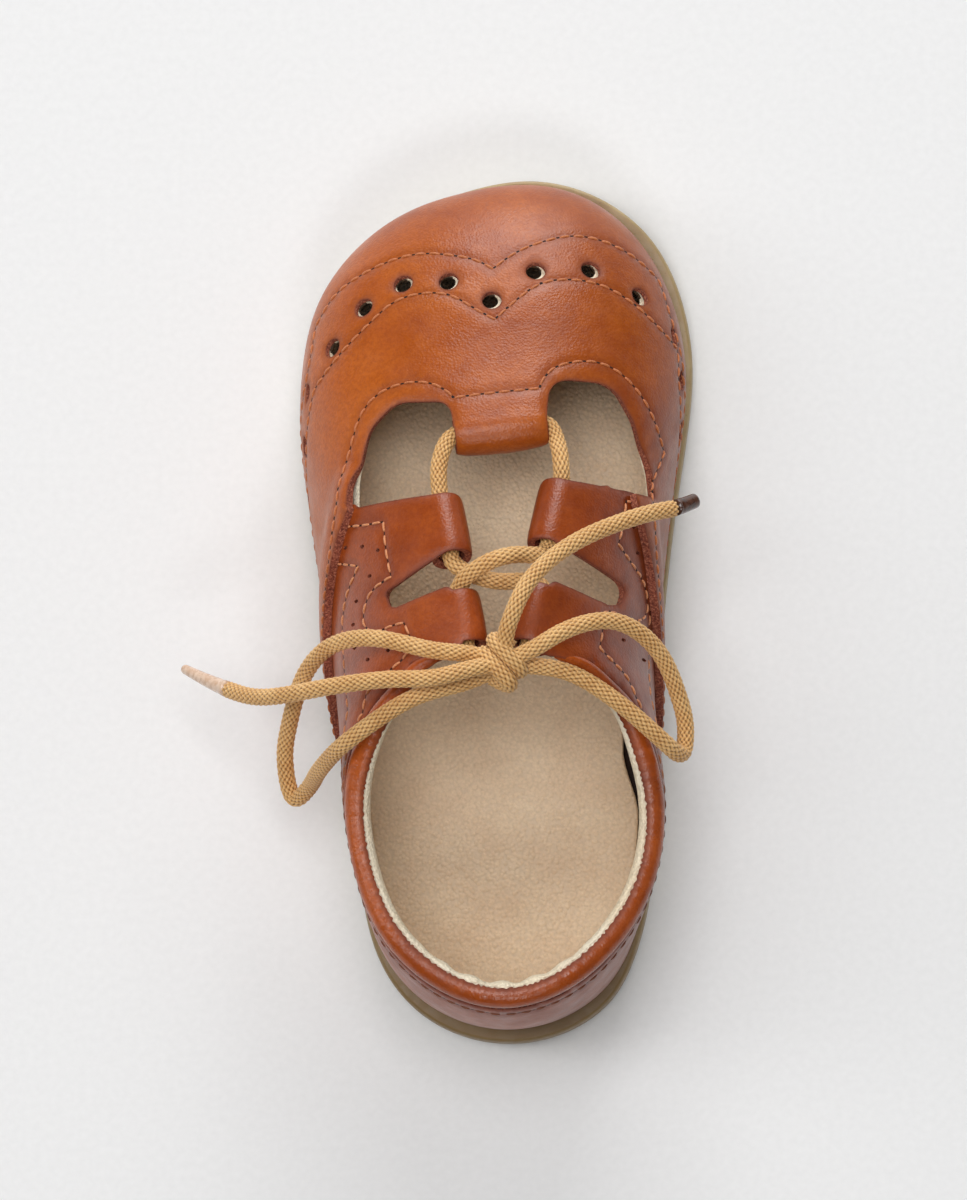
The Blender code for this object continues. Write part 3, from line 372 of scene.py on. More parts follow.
# The studio's lights, in metres and watts, all turned to one point
Light = namedtuple("Light", "name x y z width height power")
LIGHTS = [
    Light("front_softbox", 0.1, 1.35, 0.55, 0.8, 1.0, 14),
    Light("top_softbox", -0.1, 0.1, 1.5, 0.8, 0.7, 10.6),
    Light("back_softbox", 0.1, -1.0, 1.25, 0.5, 0.3, 4),
    Light("left_strip", -1.15, 0.1, 1.1, 0.5, 1.4, 5.5),
    Light("right_strip", 1.15, 0.0, 1.1, 0.5, 1.4, 0.4),
]
LIGHT_AIM = Vector((0, 0, 0.02))
DAYLIGHT = 0.06         # strength of the white world

# The camera, in millimetres
CAMERA = Vector((31.45, -115.0, 1093.0))
CAMERA_AIM = Vector((-2.0, 0.0, 22.0))
LENS = 135.0


def arrays(a, b):
    """Two numbers or arrays as arrays of one shape."""
    return np.broadcast_arrays(np.asarray(a, float), np.asarray(b, float))


def lengths(points):
    """How far along a path each of its points lies."""
    return np.concatenate([[0], np.cumsum(np.linalg.norm(np.diff(points, axis=0), axis=1))])


def unit(vectors):
    return vectors / np.linalg.norm(vectors, axis=-1, keepdims=True)


def full_turn(count):
    """Angles at even steps round a circle."""
    return np.arange(count) / count * 2 * math.pi


def bell(distance, width):
    """1 at no distance, fading away over about width."""
    return np.exp(-((distance / width) ** 2))


def spline(knots, values):
    """A smooth function through the rows of a table: a natural cubic spline."""
    knots, values = np.asarray(knots, float), np.asarray(values, float)
    step = np.diff(knots)
    matrix, right = np.eye(len(knots)), np.zeros_like(values)
    for i in range(1, len(knots) - 1):
        matrix[i, i - 1 : i + 2] = step[i - 1], 2 * (step[i - 1] + step[i]), step[i]
        right[i] = 6 * ((values[i + 1] - values[i]) / step[i] - (values[i] - values[i - 1]) / step[i - 1])
    bend = np.linalg.solve(matrix, right)

    def at(t):
        t = np.clip(np.asarray(t, float), knots[0], knots[-1])
        i = np.clip(np.searchsorted(knots, t, side="right") - 1, 0, len(knots) - 2)
        after, before, h = t - knots[i], knots[i + 1] - t, step[i]
        if values.ndim > 1:
            after, before, h = after[..., None], before[..., None], h[..., None]
        return (
            (bend[i] * before**3 + bend[i + 1] * after**3) / (6 * h)
            + (values[i] / h - bend[i] * h / 6) * before
            + (values[i + 1] / h - bend[i + 1] * h / 6) * after
        )

    return at


def smooth_route(points, spacing):
    """Points every spacing along a smooth curve through the given ones."""
    points = np.asarray(points, float)
    chord = lengths(points)
    curve = spline(chord, points)(np.linspace(0, chord[-1], 40 * len(points)))
    along = lengths(curve)
    count = max(2, round(along[-1] / spacing) + 1)
    even = np.linspace(0, along[-1], count)
    return np.stack([np.interp(even, along, column) for column in curve.T], axis=1)


def ease(t):
    """A smooth step from 0 to 1."""
    t = np.clip(t, 0, 1)
    return t * t * (3 - 2 * t)


def sole_bottom(y):
    """Flat under the heel and the ball, with an arch between them and the toe lifted."""
    y = np.asarray(y, float)
    arch = ARCH * ease((y - HEEL_REST[1]) / ARCH_RAMP) * ease((BALL_REST[0] - y) / ARCH_RAMP)
    heel = HEEL_SPRING * np.clip((HEEL_REST[0] - y) / (LENGTH / 2 + HEEL_REST[0]), 0, 1) ** 2
    return arch + heel + toe_lift(y)


def toe_lift(y):
    """How far the toe is lifted by its spring."""
    return TOE_SPRING * np.clip((y - BALL_REST[1]) / (LENGTH / 2 - BALL_REST[1]), 0, 1) ** 2


def sole_top(y):
    y = np.asarray(y, float)
    thinner = ease((y - THINNING[0]) / (THINNING[1] - THINNING[0]))
    return SOLE_HEEL + (SOLE_BALL - SOLE_HEEL) * thinner + toe_lift(y)


def outline_of_sole():
    """The sole's outline from the heel round the medial side, and its lip at each point."""
    medial = [((row.along - 0.5) * LENGTH, row.medial * BALL_WIDTH, row.medial_lip) for row in OUTLINE]
    lateral = [((row.along - 0.5) * LENGTH, row.lateral * BALL_WIDTH, row.lateral_lip) for row in OUTLINE]
    ring = np.array(medial + lateral[-2:0:-1])[:, [1, 0, 2]]
    wrapped = np.concatenate([ring[-4:], ring, ring[:5]])
    chord = lengths(wrapped[:, :2])
    even = np.linspace(chord[4], chord[4 + len(ring)], OUTLINE_POINTS, endpoint=False)
    curve = spline(chord, wrapped)(even)
    low, high = curve[:, :2].min(axis=0), curve[:, :2].max(axis=0)
    curve[:, :2] = (curve[:, :2] - (low + high) / 2) * np.array([BALL_WIDTH, LENGTH]) / (high - low)
    return curve[:, :2], curve[:, 2]


def outward(ring):
    """Directions straight out of a closed ring of points."""
    along = np.roll(ring, -1, axis=0) - np.roll(ring, 1, axis=0)
    normal = np.stack([along[:, 1], -along[:, 0]], axis=1)
    return unit(normal)


class Side:
    """One side of a closed outline, from heel to toe, looked up by y or by length along it."""

    def __init__(self, points, normals):
        self.points, self.normals = points, normals
        self.along = lengths(points)
        self.length = self.along[-1]

    def y_at(self, s):
        return np.interp(s, self.along, self.points[:, 1])

    def s_at(self, y):
        return np.interp(y, self.points[:, 1], self.along)

    def x_at(self, y):
        return np.interp(y, self.points[:, 1], self.points[:, 0])

    def normal_at(self, s):
        return np.stack([np.interp(s, self.along, self.normals[:, i]) for i in (0, 1)], axis=-1)


def two_sides(ring):
    """The medial side, 1, and the lateral side, -1, of a closed ring."""
    normals = outward(ring)
    heel = ring[:, 1].argmin()
    ring, normals = np.roll(ring, -heel, axis=0), np.roll(normals, -heel, axis=0)
    toe = ring[:, 1].argmax()
    back = np.concatenate([np.arange(toe, len(ring)), [0]])[::-1]
    return {1: Side(ring[: toe + 1], normals[: toe + 1]), -1: Side(ring[back], normals[back])}


class Last:
    """The form that the upper is pulled over. A place on it is (s, v): s is the length along the feather
    edge from the back of the heel, positive on the medial side, and v runs from 0 there to 1 on the ridge."""

    def __init__(self):
        ring, lip = outline_of_sole()
        self.sole = two_sides(ring)
        self.feather = two_sides(ring - outward(ring) * (lip + WALL)[:, None])
        rows = np.array(LAST)
        names = Section._fields[1:]
        self.table = {name: spline(rows[:, 0], rows[:, i + 1]) for i, name in enumerate(names)}
        self.heel, self.toe = self.feather[1].points[0, 1], self.feather[1].points[-1, 1]
        y = self.heel + (self.toe - self.heel) * (1 - np.cos(np.linspace(0, math.pi, 800))) / 2
        _, top = self.floor_and_top(y)
        ridge = lengths(np.stack([y, top], axis=1))
        self.ridge_length = lambda at: np.interp(at, y, ridge) - np.interp(0, y, ridge)

    def floor_and_top(self, y):
        floor = np.maximum(sole_top(y), sole_top(y + 2)) + GAP
        share = np.clip((y - TOE_START) / (self.toe - TOE_START), 0, 1)
        rise = (self.table["crown"](y) * INSTEP - floor) * (1 - share**TOE_POWER) ** (1 / TOE_POWER)
        return floor, floor + rise

    def side(self, s, lookup):
        """Calls lookup on the Side that each s belongs to."""
        medial, lateral = lookup(self.feather[1], np.abs(s)), lookup(self.feather[-1], np.abs(s))
        return np.where((s >= 0).reshape(s.shape + (1,) * (medial.ndim - s.ndim)), medial, lateral)

    def y_at(self, s):
        return self.side(s, lambda chain, at: chain.y_at(at))

    def place(self, s, v):
        """Points of the last at (s, v)."""
        s, v = arrays(s, v)
        y = self.y_at(s)
        hand = np.where(s >= 0, 1.0, -1.0)
        floor, top = self.floor_and_top(y)
        turn, power = v * math.pi / 2, 2 / self.table["square"](y)
        height = np.sin(turn) ** power
        ridge = self.table["ridge_x"](y)
        edge = self.side(s, lambda chain, at: np.interp(at, chain.along, chain.points[:, 0]))
        half = hand * (edge - ridge)
        wide = np.maximum(half, 0)
        swell = self.table["swell"](y) * wide / (wide + SWELL_FADE)
        swell = swell * np.sin(math.pi * np.clip(v / SWELL_TOP, 0, 1))
        flare = np.where(hand > 0, self.table["medial_flare"](y), self.table["lateral_flare"](y))
        flare = flare * ease(height / FLARE_TOP) * wide / (wide + FLARE_FADE)
        x = ridge + hand * ((half + swell) * np.maximum(np.cos(turn), 0) ** power + flare)
        z = floor + (top - floor) * height
        back = ease((HEEL_CURVE[0] - y) / (HEEL_CURVE[0] - HEEL_CURVE[1]))
        bulge = np.clip((z - BULGE_LEVELS[0]) / (BULGE_LEVELS[1] - BULGE_LEVELS[0]), 0, 1)
        bulge = HEEL_BULGE * np.sin(math.pi * bulge)
        lean = HEEL_LEAN * np.clip((z - LEAN_LEVELS[0]) / (LEAN_LEVELS[1] - LEAN_LEVELS[0]), 0, 2) ** 2
        return np.stack([x, y + back * (lean - bulge), z], axis=-1)

    def normal(self, s, v):
        """Outward normals, from small steps along s and v."""
        s, v = arrays(s, v)
        longest = self.side(s, lambda chain, at: np.full(at.shape, chain.length))
        low, high = np.clip(s - 0.15, -longest, longest), np.clip(s + 0.15, -longest, longest)
        low, high = np.where((s > 0) & (low < 0), 0, low), np.where((s < 0) & (high > 0), -1e-9, high)
        across = self.place(high, v) - self.place(low, v)
        up = self.place(s, np.clip(v + 0.004, 0, 1)) - self.place(s, np.clip(v - 0.004, 0, 1))
        normal = np.cross(across, up)
        return normal / np.maximum(np.linalg.norm(normal, axis=-1, keepdims=True), 1e-12)

    def pattern(self, s, v):
        """The place laid flat: walls swung outwards from the ridge, so that the upper lies in one sheet."""
        s, v = arrays(s, v)
        y = self.y_at(s)
        point = self.place(s, v)
        push = self.floor_and_top(y)[1] - point[..., 2]
        out = self.side(s, lambda chain, at: chain.normal_at(at)) * push[..., None]
        return np.stack([point[..., 0] + out[..., 0], self.ridge_length(y) + out[..., 1]], axis=-1)

    def seen_from_above(self, x, y):
        """The place whose point has this x and y, ahead of the heel."""
        hand = 1 if x >= self.table["ridge_x"](y) else -1
        s = hand * float(self.feather[hand].s_at(y))
        v = np.linspace(0.25, 1, 400)
        reach = hand * self.place(np.full_like(v, s), v)[:, 0]
        return s, float(np.interp(-hand * x, -reach, v))

    def at_height(self, s, z):
        """The place above s at this height."""
        s, z = arrays(s, z)
        y = self.y_at(s)
        floor, top = self.floor_and_top(y)
        share = np.clip((z - floor) / (top - floor), 0, 1)
        return np.arcsin(share ** (self.table["square"](y) / 2)) / (math.pi / 2)


LAST_FORM = Last()


def rounded(corners, start, end):
    """Points from start to end past the corners, each rounded by its radius."""
    path = [np.array(start, float)]
    stops = [np.array([corner.x, corner.y]) for corner in corners] + [np.array(end, float)]
    for i, corner in enumerate(corners):
        here = stops[i]
        before = path[-1] - here if i == 0 else stops[i - 1] - here
        after = stops[i + 1] - here
        before, after = unit(before), unit(after)
        half = math.acos(np.clip(before @ after, -1, 1)) / 2
        cut = corner.radius / math.tan(half)
        centre = here + unit(before + after) * corner.radius / math.sin(half)
        first, last = here + before * cut, here + after * cut
        count = max(2, round((math.pi - 2 * half) / math.radians(12)))
        for j in range(count + 1):
            spoke = (first - centre) * (1 - j / count) + (last - centre) * (j / count)
            path.append(centre + unit(spoke) * corner.radius)
    path.append(stops[-1])
    return spaced(path, EDGE_STEP)


def spaced(path, spacing):
    """The same path with long steps divided."""
    points = [path[0]]
    for a, b in zip(path, path[1:]):
        count = max(1, round(float(np.linalg.norm(b - a)) / spacing))
        points += [a + (b - a) * (j + 1) / count for j in range(count)]
    return points


def places_above(points):
    """The places that are seen at these points from above."""
    return [LAST_FORM.seen_from_above(x, y) for x, y in points]


def collar_height(hand, y):
    """Height of the roll's middle."""
    rows = np.array(COLLAR)
    return spline(rows[:, 0], rows[:, 2 if hand > 0 else 1])(y)


def collar_line(hand, spacing=3.0):
    """Places on the wall beside the roll, from its front end to the back of the heel, with its radii."""
    rows = np.array(COLLAR)
    side = LAST_FORM.feather[hand]
    first = float(side.s_at(COLLAR[-1].y))
    s = np.linspace(first, 0, round(first / spacing) + 1)
    y = side.y_at(s)
    v = LAST_FORM.at_height(hand * np.maximum(s, 1e-6), collar_height(hand, y))
    return np.stack([hand * s, v], axis=1), spline(rows[:, 0], rows[:, 3])(y)


def collar_path(spacing=3.0):
    """The roll from its lateral end round the heel to its medial end: its middle line and radii."""
    lateral, lateral_radius = collar_line(-1, spacing)
    medial, medial_radius = collar_line(1, spacing)
    places = np.concatenate([lateral[:-1], medial[::-1]])
    points = LAST_FORM.place(*places.T)
    out = WALL / 2 - ROLL_IN * ease((COLLAR[-2].y - points[:, 1]) / ROLL_IN_RAMP)
    points += LAST_FORM.normal(*places.T) * out[:, None]
    return points, np.concatenate([lateral_radius[:-1], medial_radius[::-1]])


def edge_under_collar(hand):
    """The quarter's top edge: the highest places on the wall that stay clear of the roll."""
    path, radius = collar_path(0.8)
    places, _ = collar_line(hand, EDGE_STEP)
    edge = []
    for s, top in places[1:]:
        s = s if abs(s) > 1e-6 else hand * 1e-6
        v = np.linspace(max(0.05, top - 0.3), top, 240)
        wall = LAST_FORM.place(np.full_like(v, s), v)
        wall += LAST_FORM.normal(np.full_like(v, s), v) * WALL / 2
        clear = (np.linalg.norm(wall[:, None] - path[None], axis=2) - radius - GAP - 0.1).min(axis=1)
        edge.append((s, float(v[np.flatnonzero(clear > 0).max()])))
    return edge


def fold_ends(name):
    """The two ends of a fold, seen from above."""
    fold = FOLDS[name]
    return [np.array([fold.x0, fold.y0]), np.array([fold.x1, fold.y1])]


def fold_places(name):
    return places_above(spaced(fold_ends(name), EDGE_STEP / 2))


def strap_edge(hand):
    """The lower strap's rear edge, from its fold back to the collar, seen from above."""
    rear = EDGES[hand].rear
    return rounded(rear[:-1], fold_ends(EDGES[hand].lower)[1], rear[-1][:2])


def half_edge(hand):
    """One half of the opening's edge, from the bar to the back of the heel: its folds' names and places."""
    row = EDGES[hand]
    bar = fold_ends("bar")[0 if hand > 0 else 1]
    (front, front_end), (back, _) = fold_ends(row.upper), fold_ends(row.lower)
    collar = edge_under_collar(hand)
    if hand > 0:
        collar.pop()    # the back of the heel is in the lateral half
    return [
        (None, places_above(rounded(row.window, bar, front)[1:-1])),
        (row.upper, fold_places(row.upper)),
        (None, places_above(rounded(row.slot, front_end, back)[1:-1])),
        (row.lower, fold_places(row.lower)),
        (None, places_above(strap_edge(hand)[1:]) + collar),
    ]


def cut_edge():
    """The edge of the whole opening as places, and for each fold the numbers of its places in that list."""
    medial = [(name, places[::-1]) for name, places in half_edge(1)[::-1]]
    edge, folded = [], {}
    for name, places in [("bar", fold_places("bar"))] + half_edge(-1) + medial:
        if name:
            folded[name] = list(range(len(edge), len(edge) + len(places)))
        edge += places
    return edge, folded


def hole_edge(x, y):
    """A round hole punched square to the leather."""
    s, v = LAST_FORM.seen_from_above(x, y)
    centre, normal = LAST_FORM.place(s, v), LAST_FORM.normal(s, v)
    along = unit(np.cross((1.0, 0, 0), normal))
    across = np.cross(along, normal)
    turns = full_turn(HOLE_SIDES)
    ring = centre + HOLE / 2 * (np.cos(turns)[:, None] * along + np.sin(turns)[:, None] * across)
    return places_above(ring[:, :2])


def side_hole(hand, y, v):
    """A round hole punched low on one side."""
    s = float(LAST_FORM.feather[hand].s_at(y))
    step = 0.02
    rise = LAST_FORM.place(hand * s, v + step) - LAST_FORM.place(hand * s, v - step)
    level = np.linalg.norm(rise) / (2 * step)
    turns = full_turn(HOLE_SIDES)
    return [(hand * (s + HOLE / 2 * math.cos(t)), v + HOLE / 2 * math.sin(t) / level) for t in turns]


def inside(points, ring):
    """Which points lie inside a closed ring of points."""
    x, y = points[:, 0, None], points[:, 1, None]
    a, b = ring, np.roll(ring, -1, axis=0)
    crosses = (a[:, 1] > y) != (b[:, 1] > y)
    slope = (b[:, 0] - a[:, 0]) / np.where(b[:, 1] == a[:, 1], 1e-12, b[:, 1] - a[:, 1])
    return (crosses & (x < a[:, 0] + (y - a[:, 1]) * slope)).sum(axis=1) % 2 == 1


def shaping_places(spacing):
    """Places all over the last, about spacing apart."""
    places = []
    for hand, side in LAST_FORM.feather.items():
        for s in np.linspace(0, side.length, round(side.length / spacing) + 1)[: -1]:
            if hand < 0 and s == 0:
                continue
            v = np.linspace(0, 1, 200)
            arc = lengths(LAST_FORM.place(hand * s, v))
            levels = np.interp(np.linspace(0, arc[-1], max(2, round(arc[-1] / spacing)) + 1), arc, v)
            places += [(hand * s, level) for level in levels[1 : -1 if hand < 0 else None]]
    return places


def tunnel_axis(name):
    """The middle line of a fold's tunnel, as its two ends."""
    ends = np.array(places_above(fold_ends(name)))
    return LAST_FORM.place(*ends.T) - LAST_FORM.normal(*ends.T) * TUNNEL


def part_places(kind, hand, rows):
    """Places along one part of a stitch line."""
    if kind == "plan":
        return places_above(smooth_route(rows, SEAM_STEP))
    side = LAST_FORM.feather[hand]
    if kind == "collar":
        drops = np.array(rows)
        s = np.arange(side.s_at(rows[0][0]), side.s_at(rows[-1][0]), -SEAM_STEP)
        y = side.y_at(s)
        z = collar_height(hand, y) - np.interp(-y, -drops[:, 0], drops[:, 1])
        return list(zip(hand * s, LAST_FORM.at_height(hand * s, z)))
    level = 40.0        # about the height of a side wall, so that v counts as a length
    route = smooth_route([(y, v * level) for y, v in rows], SEAM_STEP)
    return [(hand * float(side.s_at(y)), v / level) for y, v in route]


def seam_places(seam):
    """Places along a whole stitch line, each part starting where the one before it ended."""
    places, before, corner = [], None, None
    for kind, hand, rows in seam:
        if kind == "plan" and before == "plan":
            rows = [corner] + rows
        places += part_places(kind, hand, rows)
        before, corner = kind, rows[-1]
    places = np.array(places)
    gaps = np.linalg.norm(np.diff(LAST_FORM.place(*places.T), axis=0), axis=1)
    steps = np.maximum(1, np.ceil(gaps / SEAM_STEP)).astype(int)
    at = np.concatenate([i + np.arange(n) / n for i, n in enumerate(steps)] + [[len(gaps)]])
    return np.stack([np.interp(at, np.arange(len(places)), column) for column in places.T], axis=1)


def flat(places):
    """Places as points of the flat pattern."""
    return LAST_FORM.pattern(*np.asarray(places).T)


def unflat(points, start):
    """The places at these points of the flat pattern, looked for from others, and which were found."""
    places = np.array(start, float)
    ds, dv = np.array([0.05, 0.0]), np.array([0.0, 0.002])
    for _ in range(6):
        gap = points - flat(places)
        near = np.stack([places[:, 0], np.clip(places[:, 1], 0.004, 0.996)], axis=1)
        along = (flat(near + ds) - flat(near - ds)) / (2 * ds[0])
        up = (flat(near + dv) - flat(near - dv)) / (2 * dv[1])
        area = along[:, 0] * up[:, 1] - along[:, 1] * up[:, 0]
        area = np.where(np.abs(area) < 1e-6, 1e-6, area)
        places[:, 0] += np.clip((gap[:, 0] * up[:, 1] - gap[:, 1] * up[:, 0]) / area, -1, 1)
        rise = (along[:, 0] * gap[:, 1] - along[:, 1] * gap[:, 0]) / area
        places[:, 1] = np.clip(places[:, 1] + np.clip(rise, -0.05, 0.05), 0, 1)
    return places, np.linalg.norm(points - flat(places), axis=1) < 0.03


def tree_of(points):
    """Flat points, sorted for distance."""
    tree = KDTree(len(points))
    for i, point in enumerate(points):
        tree.insert((point[0], point[1], 0), i)
    tree.balance()
    return tree


def distance(tree, points):
    """How far each point lies from the nearest one in the tree."""
    return np.array([tree.find((x, y, 0))[2] for x, y in points])


def raw_edge(hand, ahead, opening):
    """The vamp's raw edge, or a line ahead of it, from the sole up to a point of the opening."""
    rows = np.array(VAMP_EDGE)
    v = np.linspace(0, rows[0, 0], 60)
    corner = EDGES[hand].window[-1]
    y = np.interp(-v, -rows[:, 0], rows[:, 1]) + (corner.y - rows[0, 1] - 0.2) * (v / rows[0, 0]) + ahead
    line = np.stack([hand * LAST_FORM.feather[hand].s_at(y), v], axis=1)
    near = distance(tree_of(flat(opening)), flat(line)) < 1.3 * EDGE_STEP
    line = line[: near.argmax() if near.any() else None]
    meets = np.linalg.norm(flat(opening) - flat(line[-1:]), axis=1).argmin()
    return [tuple(place) for place in line], int(meets)


def shifted(points, shift, closed):
    """Flat points moved sideways, to the left of their line for a positive shift."""
    if closed:
        along = np.roll(points, -1, axis=0) - np.roll(points, 1, axis=0)
    else:
        along = np.gradient(points, axis=0)
    along /= np.maximum(np.linalg.norm(along, axis=1, keepdims=True), 1e-9)
    return points + np.stack([-along[:, 1], along[:, 0]], axis=1) * shift


def beside(line, shift, closed=False):
    """Places beside a line of places, where the line leaves room for them."""
    middle = flat(line)
    points = shifted(middle, shift, closed)
    places, found = unflat(points, line)
    return places[found & (distance(tree_of(middle), points) > 0.75 * abs(shift))]


def turns_left(ring):
    """Whether a ring of places runs anticlockwise on the flat pattern."""
    a, b = flat(ring), np.roll(flat(ring), -1, axis=0)
    return float(np.sum(a[:, 0] * b[:, 1] - a[:, 1] * b[:, 0])) > 0


class Pattern:
    """The upper's leather laid flat: its points, its triangles and its panels."""

    def __init__(self):
        self.places, self.edges = [], []
        opening, folded = cut_edge()
        keys = [(hand, ahead) for hand in (-1, 1) for ahead in (0.0, UNDERLAP)]
        lines = {key: raw_edge(*key, opening) for key in keys}
        feather = self.feather_places([line[0][0] for line, _ in lines.values()])
        self.feather = self.add_ring(feather)
        self.opening = self.add_ring(opening)
        self.folds = {name: [self.opening[i] for i in numbers] for name, numbers in folded.items()}
        holes = [hole_edge(*hole) for hole in HOLES] + [side_hole(*hole) for hole in SIDE_HOLES]
        self.holes = [self.add_ring(ring) for ring in holes]
        self.raw = {key: self.add_line(line, meets, feather) for key, (line, meets) in lines.items()}
        self.pins = [self.add_ring(ring) for ring in self.clear_pins()]
        self.vamp_seams = [seam_places(seam) for seam in VAMP_SEAMS]
        self.quarter_seams = [seam_places(seam) for seam in QUARTER_SEAMS]
        self.fill()
        self.cut_panels()

    def feather_places(self, feet):
        """Even steps round the feather edge, with the feet of the raw edges among them."""
        ring = []
        for hand in (1, -1):
            length = LAST_FORM.feather[hand].length
            own = sorted(abs(foot) for foot in feet if foot * hand > 0)
            even = np.linspace(0, length, round(length / FINE) + 1)
            steps = sorted([s for s in even if all(abs(s - foot) > 0.4 for foot in own)] + own)
            ring += [(hand * s, 0.0) for s in (steps if hand > 0 else steps[-2:0:-1])]
        return ring

    def add_ring(self, ring):
        """A closed ring of places, as numbers."""
        numbers = list(range(len(self.places), len(self.places) + len(ring)))
        self.places += [tuple(place) for place in ring]
        self.edges += list(zip(numbers, numbers[1:] + numbers[:1]))
        return numbers

    def add_line(self, line, meets, feather):
        """A line from the feather edge to the opening, as numbers."""
        foot = min(range(len(feather)), key=lambda i: abs(feather[i][0] - line[0][0]))
        inner = list(range(len(self.places), len(self.places) + len(line) - 1))
        self.places += line[1:]
        numbers = [self.feather[foot]] + inner + [self.opening[meets]]
        self.edges += list(zip(numbers, numbers[1:]))
        return numbers

    def clear_pins(self):
        """The pinholes that lie on the quarters, clear of every edge."""
        edges = tree_of(flat(self.places))
        ahead = flat([self.places[i] for i in self.ring_ahead(0.0)])
        for x, y in PINHOLES:
            middle = flat(places_above([(x, y)]))
            if distance(edges, middle)[0] > PINHOLE and not inside(middle, ahead)[0]:
                ring = [(x + PINHOLE / 2 * math.cos(t), y + PINHOLE / 2 * math.sin(t)) for t in full_turn(8)]
                yield places_above(ring)

    def ring_ahead(self, ahead):
        """The outline of what lies ahead of a line: the toe, the lateral line, the bar, the medial line."""
        lateral, medial = self.raw[-1, ahead], self.raw[1, ahead]
        toe = self.feather[self.feather.index(medial[0]) : self.feather.index(lateral[0]) + 1]
        a, b = self.opening.index(lateral[-1]), self.opening.index(medial[-1])
        return toe + lateral[1:-1] + self.opening[a::-1] + self.opening[: b - 1 : -1] + medial[-2:0:-1]

    def fill(self):
        """Free points: along and beside the seams, inside the cut edges, and all over the rest."""
        free = []
        for ring in [self.opening] + self.holes:
            ring = [self.places[i] for i in ring]
            for inset in (INSET, 2.2 * INSET):
                free.append((beside(ring, -inset if turns_left(ring) else inset, closed=True), 0.75 * inset))
        for seam in self.vamp_seams + self.quarter_seams:
            free.append((seam, 0.3))
            free += [(beside(seam, shift), 0.3) for shift in (-0.5, 0.5)]
        free.append((np.array(shaping_places(FINE)), 0.55 * FINE))
        for places, clearance in free:
            tree = tree_of(flat(self.places))
            clear = distance(tree, flat(places)) > clearance
            self.places += [tuple(place) for place in places[clear]]
        self.places = np.array(self.places)
        self.flat = flat(self.places)

    def cut_panels(self):
        """Triangles between all the points, shared out to the lining, the vamp and the quarters."""
        corners = [Vector(point) for point in self.flat]
        _, _, faces, sources, _, _ = delaunay_2d_cdt(corners, self.edges, [], 0, 1e-7)
        triangles = np.array([[sources[i][0] for i in face] for face in faces])
        middles = self.flat[triangles].mean(axis=1)
        leather = inside(middles, self.flat[self.feather]) & ~inside(middles, self.flat[self.opening])
        for ring in self.holes:
            leather &= ~inside(middles, self.flat[ring])
        self.lining = triangles[leather]
        for ring in self.pins:
            leather &= ~inside(middles, self.flat[ring])
        self.vamp = triangles[leather & inside(middles, self.flat[self.ring_ahead(0.0)])]
        self.quarters = triangles[leather & ~inside(middles, self.flat[self.ring_ahead(UNDERLAP)])]


# Materials

def srgb(*rgb):
    """A colour as it looks on screen, 0 to 255, as the renderer counts it."""
    return [((c / 255 + 0.055) / 1.055) ** 2.4 if c > 10 else c / 3294 for c in rgb]


def shaded(colour, share):
    """A lighter or darker version of a colour."""
    return tuple(int(share * c) for c in colour)


